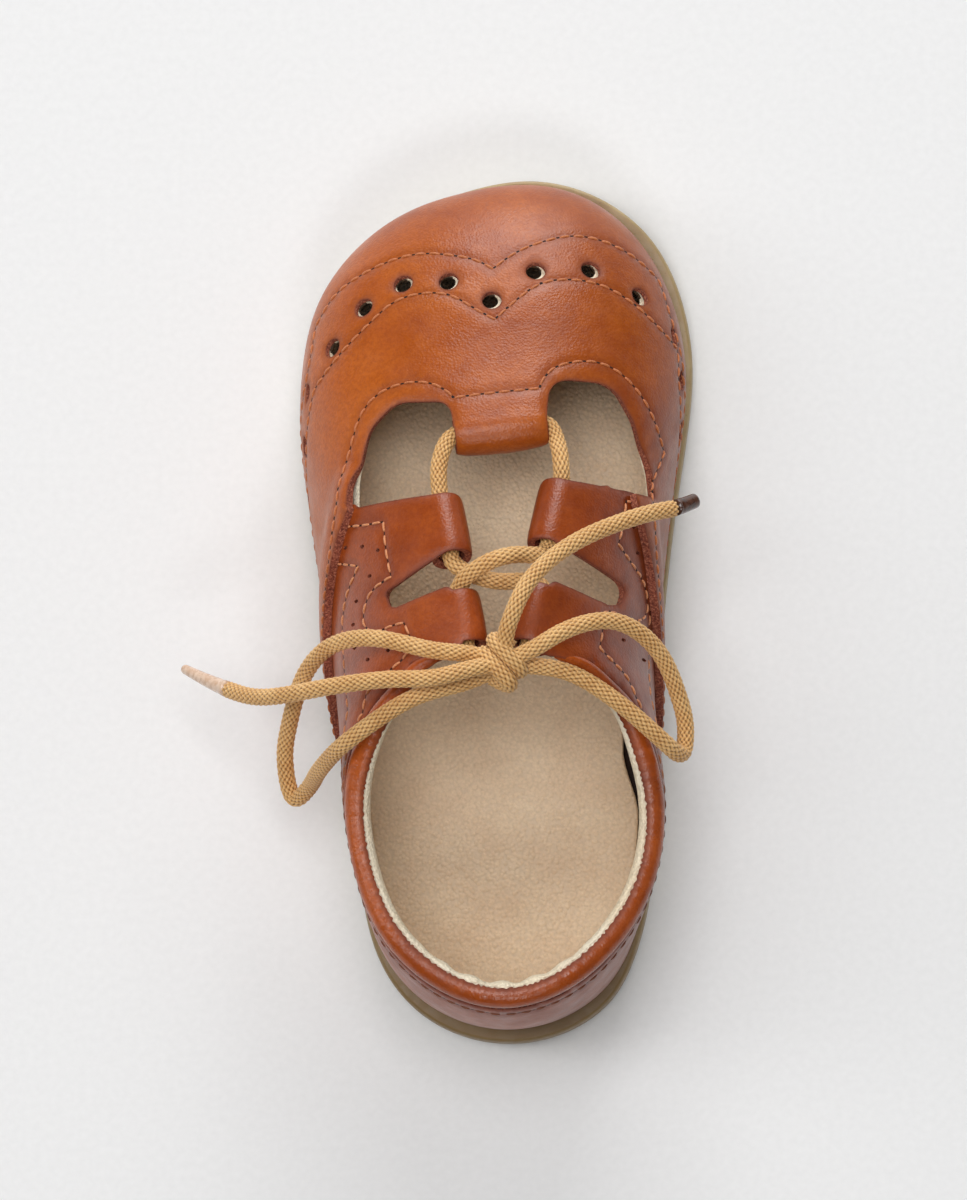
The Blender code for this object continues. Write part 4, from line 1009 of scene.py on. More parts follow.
class Look:
    """A material under construction."""

    def __init__(self, name, colour, roughness, **sockets):
        self.material = bpy.data.materials.new(name)
        self.material.use_nodes = True
        self.nodes, self.links = self.material.node_tree.nodes, self.material.node_tree.links
        self.shader = self.nodes["Principled BSDF"]
        self.set(self.shader, {"Base Color": (*srgb(*colour), 1), "Roughness": roughness, **sockets})
        self.material.diffuse_color = (*srgb(*colour), 1)
        self.place = self.node("ShaderNodeTexCoord").outputs["Object"]

    def put(self, socket, value):
        """Links a socket to another node, or sets it."""
        if isinstance(value, bpy.types.NodeSocket):
            self.links.new(value, socket)
        else:
            socket.default_value = value

    def set(self, node, values):
        for name, value in values.items():
            self.put(node.inputs[name], value)

    def node(self, kind, inputs=(), **settings):
        node = self.nodes.new(kind)
        for name, value in settings.items():
            setattr(node, name, value)
        self.set(node, dict(inputs))
        return node

    def noise(self, size, detail=3.0, rough=0.55, where=None):
        """Cloudy noise whose features are about size millimetres."""
        inputs = {"Vector": where or self.place, "Scale": 1000 / size, "Detail": detail, "Roughness": rough}
        return self.node("ShaderNodeTexNoise", inputs).outputs["Fac"]

    def cells(self, size, feature="F1", **inputs):
        inputs = {"Vector": self.place, "Scale": 1000 / size, **inputs}
        return self.node("ShaderNodeTexVoronoi", inputs, feature=feature).outputs["Distance"]

    def stretched(self, x, y, z):
        """Coordinates squeezed along each axis."""
        return self.node("ShaderNodeMapping", {"Vector": self.place, "Scale": (x, y, z)}).outputs["Vector"]

    def between(self, axis, start, end, most=1.0):
        """A value that grows from 0 to most between two places along an axis."""
        where = self.node("ShaderNodeSeparateXYZ", {"Vector": self.place}).outputs[axis]
        inputs = {"Value": where, "From Min": start * MM, "From Max": end * MM, "To Max": most}
        return self.node("ShaderNodeMapRange", inputs).outputs["Result"]

    def attribute(self, name):
        return self.node("ShaderNodeAttribute", attribute_name=name).outputs["Fac"]

    def ramp(self, value, *stops):
        """A value or colour that follows another value; stops are (position, grey or sRGB colour)."""
        node = self.node("ShaderNodeValToRGB", {"Fac": value})
        elements = node.color_ramp.elements
        while len(elements) < len(stops):
            elements.new(0.5)
        for element, (position, colour) in zip(elements, stops):
            element.position = position
            element.color = (*srgb(*colour), 1) if isinstance(colour, tuple) else (colour, colour, colour, 1)
        return node.outputs["Color"]

    def mix(self, share, a, b, blend="MIX"):
        node = self.node("ShaderNodeMix", data_type="RGBA", blend_type=blend)
        self.put(node.inputs["Factor"], share)
        for socket, value in zip(node.inputs[6:8], (a, b)):
            self.put(socket, (*srgb(*value), 1) if isinstance(value, tuple) else value)
        return node.outputs[2]

    def math(self, how, a, b):
        node = self.node("ShaderNodeMath", operation=how)
        for socket, value in zip(node.inputs, (a, b)):
            self.put(socket, value)
        return node.outputs[0]

    def bumps(self, *layers):
        """Layers of relief, each a height and its depth in millimetres."""
        normal = None
        for height, depth in layers:
            node = self.node("ShaderNodeBump", {"Height": height, "Strength": 1.0, "Distance": depth * MM})
            if normal is not None:
                self.links.new(normal, node.inputs["Normal"])
            normal = node.outputs["Normal"]
        self.set(self.shader, {"Normal": normal, "Coat Normal": normal})

    def finish(self, **sockets):
        names = {"colour": "Base Color", "roughness": "Roughness"}
        self.set(self.shader, {names[key]: value for key, value in sockets.items()})
        return self.material


def leather_look(name, light, middle, dark, gloss, painted_inner_shade):
    """Waxed calf: cloudy, with painted shade on the inner side and painted light on the outer side, darker
    where it is sewn or cut, with fine pores.
    """
    look = Look(name, middle, gloss, **{"Coat Weight": 0.04, "Coat Roughness": 0.25})
    cloud = look.noise(15.0, 4.0)
    colour = look.ramp(cloud, (0.3, dark), (0.5, middle), (0.68, light))
    # Painted shade: darker towards the inner side, where less light falls.
    colour = look.mix(look.between("X", 4, 30, painted_inner_shade), colour, shaded(dark, 0.8))
    # Painted light: lighter towards the outer side, where more light falls.
    colour = look.mix(look.between("X", -12, -32, 0.7), colour, shaded(light, 1.12))
    mottle = look.noise(2.6, 5.0, 0.65)
    colour = look.mix(look.ramp(mottle, (0.38, 0.0), (0.7, 0.5)), colour, light)
    speckle = look.noise(0.7, 4.0, 0.7)
    colour = look.mix(look.ramp(speckle, (0.35, 0.45), (0.6, 0.0)), colour, dark)
    pores = look.cells(0.4)
    colour = look.mix(look.ramp(pores, (0.0, 0.28), (0.35, 0.0)), colour, dark)
    # Darker along the seams and near cut edges and holes.
    darkening = look.math("MAXIMUM", look.math("MULTIPLY", look.attribute("seam"), 0.4), look.attribute("rim"))
    patchy = look.math("MULTIPLY", darkening, look.ramp(look.noise(4.0), (0.3, 0.65), (0.7, 1.0)))
    colour = look.mix(patchy, colour, (94, 36, 20))
    rough = look.ramp(look.noise(5.0, 4.0), (0.3, gloss - 0.07), (0.7, gloss + 0.09))
    rough = look.mix(look.attribute("rim"), rough, (230, 230, 230))
    creases = look.noise(4.5, 5.0, 0.6, look.stretched(1.0, 0.6, 1.0))
    look.bumps((creases, 0.02), (pores, 0.035), (speckle, 0.03), (look.noise(0.3, 2.0), 0.02))
    return look.finish(colour=colour, roughness=rough)


def edge_look():
    """The cut edge of the leather: fibrous, reddish brown."""
    look = Look("cut_edge", (112, 54, 38), 0.8)
    fibre = look.noise(0.35, 5.0, 0.7)
    look.bumps((fibre, 0.25))
    colour = look.ramp(fibre, (0.32, (70, 26, 20)), (0.5, (150, 76, 54)), (0.7, (214, 140, 108)))
    return look.finish(colour=colour)


def lining_look(name, light, dark, grain, painted_shade=()):
    """Undyed lining leather with a pebbled grain; the optional rows of y and a share paint shade on it."""
    look = Look(name, light, 0.55, **{"Sheen Weight": 0.1, "Sheen Roughness": 0.5})
    cloud = look.noise(9.0, 4.0)
    cells = look.cells(grain, "SMOOTH_F1", Smoothness=0.3, Randomness=1.0)
    colour = look.mix(look.ramp(cloud, (0.3, 0.0), (0.72, 1.0)), dark, light)
    fine = look.noise(0.5 * grain, 3.0, 0.6)
    deep = shaded(dark, 0.78)
    colour = look.mix(look.ramp(cells, (0.35, 0.0), (0.8, 0.26)), colour, deep)
    colour = look.mix(look.ramp(fine, (0.32, 0.2), (0.6, 0.0)), colour, deep)
    # Painted shade: the colour is darkened along y where less light falls.
    if painted_shade:
        start, end = painted_shade[0][0], painted_shade[-1][0]
        stops = [((y - start) / (end - start), grey) for y, grey in painted_shade]
        colour = look.mix(1.0, colour, look.ramp(look.between("Y", start, end), *stops), "MULTIPLY")
    pebble = look.ramp(cells, (0.1, 1.0), (0.75, 0.0))
    look.bumps((look.noise(4.0, 3.0), 0.08), (pebble, 0.28 * grain), (fine, 0.05))
    rough = look.ramp(look.noise(3.0), (0.3, 0.46), (0.7, 0.62))
    return look.finish(colour=colour, roughness=rough)


def rubber_look():
    """Honey-coloured rubber with specks, and painted shade round the back of the heel."""
    glow = {"Subsurface Weight": 0.15, "Subsurface Scale": 0.004, "Subsurface Radius": (1.0, 0.6, 0.25)}
    coat = {"Coat Weight": 0.08, "Coat Roughness": 0.35}
    look = Look("honey_rubber", (176, 154, 114), 0.45, **glow, **coat)
    cloud = look.noise(7.0, 4.0)
    colour = look.ramp(cloud, (0.3, (162, 138, 98)), (0.55, (176, 154, 114)), (0.75, (192, 172, 132)))
    specks = look.ramp(look.cells(1.1), (0.06, 0.5), (0.16, 0.0))
    colour = look.mix(specks, colour, (140, 114, 74))
    # Painted shade: darker towards the back of the heel, where its side faces away from the light.
    colour = look.mix(look.between("Y", -38, -62, 0.9), colour, (122, 95, 50))
    rough = look.ramp(look.noise(1.6, 4.0), (0.3, 0.38), (0.7, 0.56))
    look.bumps((look.noise(2.2, 4.0), 0.06), (look.noise(0.35, 3.0), 0.03))
    return look.finish(colour=colour, roughness=rough)


def braid_look():
    """Waxed cotton braid, with painted shade in the gaps between its strands and a painted highlight on their
    tops.
    """
    look = Look("golden_braid", (200, 148, 82), 0.55, **{"Sheen Weight": 0.2, "Sheen Roughness": 0.45})
    strand = look.attribute("plait")
    cloud = look.ramp(look.noise(3.4, 3.0), (0.3, (216, 160, 90)), (0.7, (238, 190, 122)))
    fibre = look.noise(0.16, 3.0, 0.7)
    colour = look.mix(look.ramp(fibre, (0.35, 0.3), (0.65, 0.0)), cloud, (156, 102, 46))
    # Painted shade in the gaps between the strands.
    colour = look.mix(look.ramp(strand, (0.08, 0.95), (0.6, 0.0)), colour, (116, 70, 28))
    # Painted highlight on the strands' tops.
    colour = look.mix(look.ramp(strand, (0.7, 0.0), (1.0, 0.45)), colour, (250, 218, 162))
    look.bumps((fibre, 0.05))
    return look.finish(colour=colour, roughness=look.ramp(fibre, (0.3, 0.42), (0.7, 0.66)))


def thread_look(name, light, dark):
    """Sewing thread, darker round the heel."""
    look = Look(name, light, 0.5, **{"Sheen Weight": 0.15})
    twist = look.noise(0.22, 2.0, 0.6)
    look.bumps((twist, 0.05))
    colour = look.ramp(twist, (0.3, dark), (0.7, light))
    return look.finish(colour=look.mix(look.between("Y", -20, -34, 0.85), colour, (96, 40, 20)))


def hole_shade_look():
    """Painted shade: the dark in small holes and under the sock."""
    look = Look("painted_hole_shade", (30, 13, 8), 0.9)
    return look.finish(colour=look.ramp(look.noise(0.3), (0.3, (20, 9, 6)), (0.7, (44, 20, 12))))


def aglet_look(name, light, dark):
    """A glossy wrap with faint streaks."""
    look = Look(name, light, 0.18, **{"Coat Weight": 0.6, "Coat Roughness": 0.08, "IOR": 1.46})
    streak = look.noise(0.9, 3.0, 0.5)
    look.bumps((look.noise(1.4), 0.05))
    rough = look.ramp(streak, (0.3, 0.2), (0.7, 0.36))
    return look.finish(colour=look.ramp(streak, (0.3, dark), (0.7, light)), roughness=rough)


# Making pieces

def piece(name, shape, looks, node, slot):
    """Turns a bmesh in millimetres into a piece that stands for a CAD node."""
    bmesh.ops.scale(shape, vec=(MM, MM, MM), verts=shape.verts)
    mesh = bpy.data.meshes.new(name)
    shape.to_mesh(mesh)
    shape.free()
    obj = bpy.data.objects.new(name, mesh)
    bpy.context.scene.collection.objects.link(obj)
    for look in looks:
        mesh.materials.append(look)
    mesh.polygons.foreach_set("use_smooth", [True] * len(mesh.polygons))
    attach(obj, "root")
    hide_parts(node)
    return obj


def thicken(obj, thickness, offset, weights=None, edge=0):
    """Gives a sheet its thickness and keeps the result as the piece's own mesh."""
    solid = obj.modifiers.new("leather", "SOLIDIFY")
    solid.thickness = thickness * MM
    solid.offset = offset
    solid.material_offset = solid.material_offset_rim = edge
    if weights is not None:
        group = obj.vertex_groups.new(name="thickness")
        for i, weight in enumerate(weights):
            group.add([i], weight, "REPLACE")
        solid.vertex_group = "thickness"
    bpy.context.view_layer.update()
    graph = bpy.context.evaluated_depsgraph_get()
    made = obj.evaluated_get(graph)
    mesh = bpy.data.meshes.new_from_object(made, preserve_all_data_layers=True, depsgraph=graph)
    obj.modifiers.clear()
    obj.data = mesh
    obj.vertex_groups.clear()
    mesh.set_sharp_from_angle(angle=SHARP)


def sheet(points, normals, triangles, values=None):
    """Triangles that face outwards, with named values at their verts, and the verts by number."""
    shape = bmesh.new()
    layers = {name: shape.verts.layers.float.new(name) for name in values or ()}
    verts = {i: shape.verts.new(points[i]) for i in np.unique(triangles)}
    for i, vert in verts.items():
        for name, layer in layers.items():
            vert[layer] = values[name][i]
    a, b, c = points[triangles].transpose(1, 0, 2)
    outwards = np.einsum("ij,ij->i", np.cross(b - a, c - a), normals[triangles].mean(axis=1)) > 0
    for triangle, right in zip(triangles, outwards):
        shape.faces.new([verts[i] for i in (triangle if right else triangle[::-1])])
    return shape, verts


def add_panel(name, pattern, triangles, heights, folds, looks):
    """One panel of leather, from its under to its over height above the last, with its folds turned."""
    under, over, tints = heights
    normals = LAST_FORM.normal(*pattern.places.T)
    points = LAST_FORM.place(*pattern.places.T) + normals * under[:, None]
    shape, verts = sheet(points, normals, triangles, {"thickness": over - under, **tints})
    for fold in folds:
        turn_under(shape, FOLDS[fold], [verts[i] for i in pattern.folds[fold]])
    layer = shape.verts.layers.float["thickness"]
    thickness = [vert[layer] for vert in shape.verts]
    obj = piece(name, shape, looks, "upper", "cognac_leather")
    most = max(thickness)
    thicken(obj, most, 1.0, [value / most for value in thickness], edge=1)
    return obj


def turn_under(shape, row, verts):
    """Turns the end of a strap under, round its lace tunnel."""
    axis = tunnel_axis(row.name)
    along = Vector(axis[1] - axis[0]).normalized()
    inward = Vector((row.inward_x, row.inward_y, 0))
    turn = along if along.cross(Vector((0, 0, 1))).dot(inward) > 0 else -along
    middle = Vector(axis.mean(axis=0))
    edges = [shape.edges.get(pair) for pair in zip(verts, verts[1:])]
    old = set(shape.faces)
    bmesh.ops.spin(
        shape, geom=edges, cent=middle, axis=turn, dvec=(0, 0, 0),
        angle=FOLD_TURN, steps=FOLD_STEPS, use_merge=False, use_normal_flip=False, use_duplicate=False,
    )
    for face in shape.faces:
        if face not in old:
            away = face.calc_center_median() - middle
            face.normal_update()
            if face.normal.dot(away - along * away.dot(along)) < 0:
                face.normal_flip()


def panel_heights(pattern):
    """How far the vamp's and the quarters' two sides stand off the last, and how much darker each place is
    made near seams, cut edges and holes.
    """
    points = pattern.flat
    raw_at = distance(tree_of(points[pattern.raw[-1, 0.0] + pattern.raw[1, 0.0]]), points)
    folded = {i for numbers in pattern.folds.values() for i in numbers[1:-1]}
    cut_at = distance(tree_of(points[[i for i in pattern.opening if i not in folded]]), points)
    hole_at = distance(tree_of(points[[i for ring in pattern.holes for i in ring]]), points)
    lift = 1 - ease((raw_at - UNDERLAP) / LAP_LENGTH)
    rim = bell(hole_at, HOLE_RIM)
    rounding = CUT_ROUNDING * bell(cut_at, 0.28) + RAW_ROUNDING * rim
    raw_rounding = rounding + RAW_ROUNDING * bell(raw_at, 0.3)
    panels = {
        "vamp": (pattern.vamp_seams, lift, raw_rounding, np.minimum(cut_at, raw_at)),
        "quarters": (pattern.quarter_seams, np.zeros_like(lift), rounding, cut_at),
    }
    made = {}
    for name, (seams, raised, rounded_off, edge_at) in panels.items():
        seam_at = distance(tree_of(flat(np.concatenate(seams))), points)
        pull = SEAM_DENT * bell(seam_at, 0.45) - SEAM_SWELL * bell(seam_at - 1.5, 0.8)
        under = FLESH + raised * (WALL - FLESH + 0.05) - CUT_TURN_IN * bell(cut_at, 0.6) * (1 - raised)
        under[pattern.feather] -= FEATHER_LAP
        over = WALL + raised * LAP - pull - rounded_off
        darkening = np.maximum(0.85 * bell(edge_at, 0.3), 0.9 * rim)
        made[name] = under, over, {"seam": bell(seam_at, 0.8), "rim": darkening}
    return made


def add_upper(looks):
    pattern = Pattern()
    made = panel_heights(pattern)
    leathers = [looks["cognac"], looks["edge"]]
    vamp = add_panel("vamp", pattern, pattern.vamp, made["vamp"], ["bar"], leathers)
    straps = [name for name in FOLDS if name != "bar"]
    leathers = [looks["strap"], looks["edge"]]
    quarters = add_panel("quarters", pattern, pattern.quarters, made["quarters"], straps, leathers)
    add_lining(pattern, looks)
    add_stitches("vamp_stitches", pattern.vamp_seams, vamp, [looks["vamp_thread"], looks["hole"]])
    add_stitches("quarter_stitches", pattern.quarter_seams, quarters, [looks["strap_thread"], looks["hole"]])
    add_pinholes(pattern, looks)


def add_lining(pattern, looks):
    """The lining: it stands back from the cut-outs and shows as a rim in the holes. In the toe, its faces
    towards the hollow get painted shade.
    """
    places = pattern.places.copy()
    for ring in [pattern.opening] + pattern.holes:
        line = places[ring]
        points = flat(line)
        if ring is pattern.opening:
            points = shifted(points, -SET_BACK if turns_left(line) else SET_BACK, closed=True)
        else:
            middle = points.mean(axis=0)
            points = middle + LINING_HOLE * (points - middle) + LINING_SLIP
        moved, found = unflat(points, line)
        places[ring] = np.where(found[:, None], moved, line)
    shape, _ = sheet(LAST_FORM.place(*places.T), LAST_FORM.normal(*places.T), pattern.lining)
    obj = piece("lining", shape, [looks["lining"], looks["inside"]], "upper", "sock_leather")
    thicken(obj, LINING, 1.0)
    # Painted shade: lining faces that look into the toe's hollow get the dark look.
    for face in obj.data.polygons:
        away = face.center - TOE_HOLLOW * MM
        if face.center.y > TOE_HOLLOW.y * MM and face.normal.dot(away.normalized()) < -0.3:
            face.material_index = 1


def on_surface(tree, places):
    """Points of a piece's outside over these places, with the last's normals there."""
    normals = LAST_FORM.normal(*places.T)
    starts = LAST_FORM.place(*places.T) + normals * 6
    points, kept = [], []
    for start, normal in zip(starts, normals):
        hit = tree.ray_cast(Vector(start), -Vector(normal), 8)[0]
        if hit:
            points.append(np.array(hit))
            kept.append(normal)
    return np.array(points), np.array(kept)


def add_stitches(name, seams, panel, looks):
    """Lock stitches along seams, each a short thread that dips into a needle hole at both ends."""
    corners = [vert.co / MM for vert in panel.data.vertices]
    tree = BVHTree.FromPolygons(corners, [face.vertices for face in panel.data.polygons])
    shape = bmesh.new()
    for seam in seams:
        points, normals = on_surface(tree, seam)
        along = lengths(points)
        count = int(along[-1] / PITCH)
        pitch = along[-1] / count

        def at(t, values):
            return np.stack([np.interp(t, along, column) for column in values.T], axis=-1)

        for k in range(count):
            t = (k + np.linspace(0.09, 0.91, 7)) * pitch
            add_stitch(shape, at(t, points), at(t, normals))
            hole = k * pitch
            # A dark disc at each needle hole: painted shade.
            add_disc(shape, at(hole, points), at(hole, normals), NEEDLE_HOLE, 0.03, 1)
    piece(name, shape, looks, "upper", "cognac_leather")


def add_stitch(shape, points, normals):
    """One stitch over a row of points: thickest in the middle, with both ends sunk."""
    along = unit(np.gradient(points, axis=0))
    share = np.abs(np.linspace(-1, 1, len(points)))
    middles = points + normals * THREAD * (0.5 - 1.5 * share**3)[:, None]
    radii = THREAD * (1 - 0.35 * share**4)
    skin(shape, [
        circle(shape, middle, radius, np.cross(normal, way), normal, 6)
        for middle, radius, normal, way in zip(middles, radii, normals, along)
    ])


def circle(shape, middle, radius, side, other, count):
    """A ring of verts in the plane of two directions."""
    spokes = [math.cos(t) * side + math.sin(t) * other for t in full_turn(count)]
    return [shape.verts.new(middle + radius * spoke) for spoke in spokes]


def skin(shape, rings, caps=True, around=True):
    """Faces between rings of verts, in order."""
    count = len(rings[0])
    for below, above in zip(rings, rings[1:]):
        for i in range(count if around else count - 1):
            j = (i + 1) % count
            shape.faces.new((below[i], below[j], above[j], above[i]))
    if caps:
        shape.faces.new(rings[0][::-1])
        shape.faces.new(rings[-1])


def add_disc(shape, point, normal, radius, height, look):
    """A flat disc at a height over a point."""
    normal = unit(normal)
    side = unit(np.cross(normal, (0.3, 0.9, 0.31)))
    ring = circle(shape, point + normal * height, radius, side, np.cross(normal, side), 8)
    shape.faces.new(ring).material_index = look


def add_pinholes(pattern, looks):
    """Painted shade: dark discs under the pinholes."""
    shape = bmesh.new()
    for ring in pattern.pins:
        place = pattern.places[ring].mean(axis=0)
        point, normal = LAST_FORM.place(*place), LAST_FORM.normal(*place)
        add_disc(shape, point, normal, 0.75 * PINHOLE, FLESH + 0.04, 0)
    piece("pinhole_ground", shape, [looks["hole"]], "upper", "cognac_leather")


# The collar's padded roll

def strap_rear(hand):
    """The roll's thin lead-in along the lower strap's rear edge: rows of its points, radii and normals."""
    places = np.array(places_above(strap_edge(hand)))
    points, normals = LAST_FORM.place(*places.T), LAST_FORM.normal(*places.T)
    from_fold = lengths(points)
    kept = np.flatnonzero((from_fold > LEAD_IN) & (from_fold < from_fold[-1] - 1))[::2]
    radius = np.interp(from_fold, [LEAD_IN, from_fold[-1]], LEAD_RADIUS)
    return np.concatenate([points + normals * WALL / 2, radius[:, None], normals], axis=1)[kept]


def evened(rows, spread):
    """Rows with short waves taken out; the first and last stay where they are."""
    reach = 3 * spread
    weights = np.exp(-((np.arange(-reach, reach + 1) / spread) ** 2) / 2)
    before, after = 2 * rows[0] - rows[reach:0:-1], 2 * rows[-1] - rows[-2 : -reach - 2 : -1]
    rows = np.concatenate([before, rows, after])
    return np.stack([np.convolve(column, weights / weights.sum(), "valid") for column in rows.T], axis=1)


def collar_frames(spacing):
    """Points along the roll with its radius and, at each, the directions out of the wall and up."""
    points, radius = collar_path()
    lateral, medial = collar_line(-1)[0], collar_line(1)[0]
    normals = LAST_FORM.normal(*np.concatenate([lateral[:-1], medial[::-1]]).T)
    radius = np.maximum(radius, LEAD_RADIUS[1])
    roll = np.concatenate([points, radius[:, None], normals], axis=1)[1:-1]
    rows = smooth_route(np.concatenate([strap_rear(-1), roll, strap_rear(1)[::-1]]), spacing)
    rows = evened(rows, round(ROLL_EVEN / spacing))
    points, radius, out = rows[:, :3], rows[:, 3], rows[:, 4:]
    along = unit(np.gradient(points, axis=0))
    out = unit(out - along * np.einsum("ij,ij->i", out, along)[:, None])
    up = np.cross(out, along)
    up *= np.sign(up[len(up) // 2, 2])
    return points, radius, out, up


def add_roll(name, first, last, swell, pinked, looks, edge, slot):
    """One leather of the roll: a strip round it from one angle to another; outwards is 0 and up is 90."""
    points, radius, out, up = collar_frames(ROLL_STEP)
    length = lengths(points)
    count = length / PINK_PITCH + 0.3 * np.sin(length * 0.9)
    wavy = 0.8 * np.sin(length * 1.3) * np.sin(length * 0.31)
    tooth = np.abs(count % 1 * 2 - 1) * 2 - 1 if pinked else wavy
    tooth = tooth * (0.5 + 0.5 * np.sin(length * 0.53) * np.sin(length * 1.9))
    gather = np.sin(length * 2.1 + np.sin(length * 0.37) * 2) * np.sin(length * 0.83)
    if not pinked:
        radius = radius + 0.3 * bell(points[:, 1] - HEEL_RIPPLE, 7) * np.sin(length * 1.15)
    reach = np.minimum(np.minimum(length, length[-1] - length) / ROLL_END, 1)
    taper = np.sqrt(np.clip(1 - (1 - reach) ** 2, 0.02, 1))
    shape = bmesh.new()
    rim = shape.verts.layers.float.new("rim")
    seam = shape.verts.layers.float.new("seam")
    rows = []
    for i in range(len(points)):
        end = last + math.degrees(PINK_DEPTH * tooth[i] / radius[i])
        row = []
        for share in np.linspace(0, 1, ROLL_COLUMNS + 1):
            angle = math.radians(first + (end - first) * share)
            r = (radius[i] + swell(math.degrees(angle)) + 0.07 * gather[i] * share**2) * taper[i]
            vert = shape.verts.new(points[i] + r * (math.cos(angle) * out[i] + math.sin(angle) * up[i]))
            # Darker towards the pinked edge.
            vert[rim] = 0.85 * bell(1 - share, 1 / 12) if pinked else 0.0
            vert[seam] = bell(share, 1 / 7)
            row.append(vert)
        rows.append(row)
    skin(shape, rows, caps=False, around=False)
    bmesh.ops.recalc_face_normals(shape, faces=shape.faces)
    middle = rows[len(rows) // 3][ROLL_COLUMNS // 2]
    if middle.link_faces[0].normal.dot(middle.co - Vector(points[len(rows) // 3])) < 0:
        bmesh.ops.reverse_faces(shape, faces=shape.faces)
    obj = piece(name, shape, looks, "collar", slot)
    thicken(obj, ROLL_LEATHER, -1.0, edge=edge)
    return obj


def add_collar(looks):
    def tucked(angle):
        """Under the roll its leather runs out to the wall."""
        return 0.9 * float(ease((-78 - angle) / 16))

    leathers = [looks["collar"], looks["edge"]]
    add_roll("padded_collar", *ROLL_ANGLES, tucked, True, leathers, 1, "collar_leather")

    def sunk(angle):
        """The lining starts under the leather's pinked edge and comes up beyond it."""
        return -0.62 + 0.5 * float(ease((angle - 108) / 16))

    add_roll("collar_lining", *ROLL_LINING_ANGLES, sunk, False, [looks["lining"]], 0, "sock_leather")


# The sole and the insole

def flat_face(x, y, edge):
    """A face without relief."""
    return 0.0


def add_slab(name, sides, rings, counts, top, bottom, looks, node, slot):
    """A flat piece with a shaped edge. Each ring is (inset, function from y to z), from bottom to top. counts
    are of rows and columns. top and bottom add relief, from x, y and the distance to the edge."""
    stations, columns = counts
    low, high = sides[1].points[0, 1], sides[1].points[-1, 1]
    y = low + (high - low) * (1 - np.cos(np.linspace(0, math.pi, stations + 1))) / 2
    shape = bmesh.new()
    levels = []
    for inset, height in rings:
        loop = []
        for hand, order in ((1, range(stations + 1)), (-1, range(stations - 1, 0, -1))):
            for i in order:
                side = sides[hand]
                give = inset(hand, y[i]) if callable(inset) else inset
                point = np.array([side.x_at(y[i]), y[i]]) - side.normal_at(side.s_at(y[i])) * give
                loop.append(shape.verts.new(Vector((*point, height(y[i])))))
        levels.append(loop)
    skin(shape, levels, caps=False)
    for loop, relief in ((levels[0], bottom), (levels[-1], top)):
        rows = [[loop[0]]]
        for i in range(1, stations):
            medial, lateral = loop[i], loop[-i]
            row = [medial]
            for j in range(1, columns):
                point = medial.co.lerp(lateral.co, (1 - math.cos(math.pi * j / columns)) / 2)
                edge = min((point - medial.co).length, (point - lateral.co).length)
                edge = min(edge, point.y - loop[0].co.y, loop[stations].co.y - point.y)
                point.z += relief(point.x, point.y, edge)
                row.append(shape.verts.new(point))
            rows.append(row + [lateral])
        rows.append([loop[stations]])
        for a, b in zip(rows, rows[1:]):
            a, b = (a * len(b) if len(a) == 1 else a), (b * len(a) if len(b) == 1 else b)
            for j in range(columns):
                shape.faces.new(list(dict.fromkeys((a[j], a[j + 1], b[j + 1], b[j]))))
    bmesh.ops.recalc_face_normals(shape, faces=shape.faces)
    return piece(name, shape, looks, node, slot)


def add_outsole(looks):
    def between(share):
        return lambda y: sole_bottom(y) + share * (sole_top(y) - sole_bottom(y))

    def tread(x, y, edge):
        wave = y + TREAD_WAVE * math.sin(x / 2.6)
        groove = bell(((wave / TREAD) % 1 - 0.5) * TREAD, GROOVE)
        ground = max(ease((y - back) / 3) * ease((front - y) / 3) for back, front in TREAD_REACH)
        return TREAD_DEPTH * groove * ground * float(ease((edge - TREAD_MARGIN) / 1.2))

    edge = [(inset, between(share)) for inset, share in SOLE_EDGE]
    faces = [looks["rubber"], looks["hole"]]
    shape = LAST_FORM.sole, edge, (260, 56), flat_face, tread
    sole = add_slab("unit_sole", *shape, faces, "outsole", "sole_rubber")
    # The sole's top under the upper gets the dark look of the holes: painted shade.
    for face in sole.data.polygons:
        x, y, _ = face.center / MM
        covered = LAST_FORM.feather[-1].x_at(y) < x < LAST_FORM.feather[1].x_at(y)
        if face.normal.z > 0.8 and covered and LAST_FORM.heel < y < LAST_FORM.toe:
            face.material_index = 1


def add_insole(looks):
    def at(height):
        return lambda y: sole_top(y) + GAP + height

    def in_by(amount):
        """The edge stands off the wall, and more so beside the medial waist."""

        def inset(hand, y):
            waist = ease((y - WAIST[0]) / WAIST_RAMPS[0]) * ease((WAIST[1] - y) / WAIST_RAMPS[1])
            return amount + WAIST_GAP * float((hand > 0) * waist)

        return inset

    def dish(x, y, edge):
        return -DISH * float(ease(edge / DISH_RAMP))

    edge = [(in_by(inset), at(share * INSOLE)) for inset, share in SOCK_EDGE]
    shape = LAST_FORM.feather, edge, (110, 30), dish, flat_face
    add_slab("sock", *shape, [looks["sock"]], "insole", "sock_leather")


# The laces

def frames_along(path):
    """Two directions across a path at each of its points, turning as little as it allows."""
    along = unit(np.gradient(path, axis=0))
    side = np.cross(along[0], (0.2, 0.1, 1.0))
    sides = []
    for way in along:
        side = unit(side - way * (side @ way))
        sides.append(side)
    sides = np.array(sides)
    return sides, np.cross(along, sides)


def braid_height(turn, along):
    """The relief of a round braid: strands that wind left and right and pass over each other by turns."""
    right, left = turn * BRAID_STRANDS + along / PLAIT, turn * BRAID_STRANDS - along / PLAIT
    over = (np.floor(right) + np.floor(left)) % 2 == 0
    right, left = right % 1 * 2 - 1, left % 1 * 2 - 1
    across, length = np.where(over, right, left), np.where(over, left, right)
    return np.sqrt(np.clip(1 - across**2 - 0.7 * length**2, 0, 1))


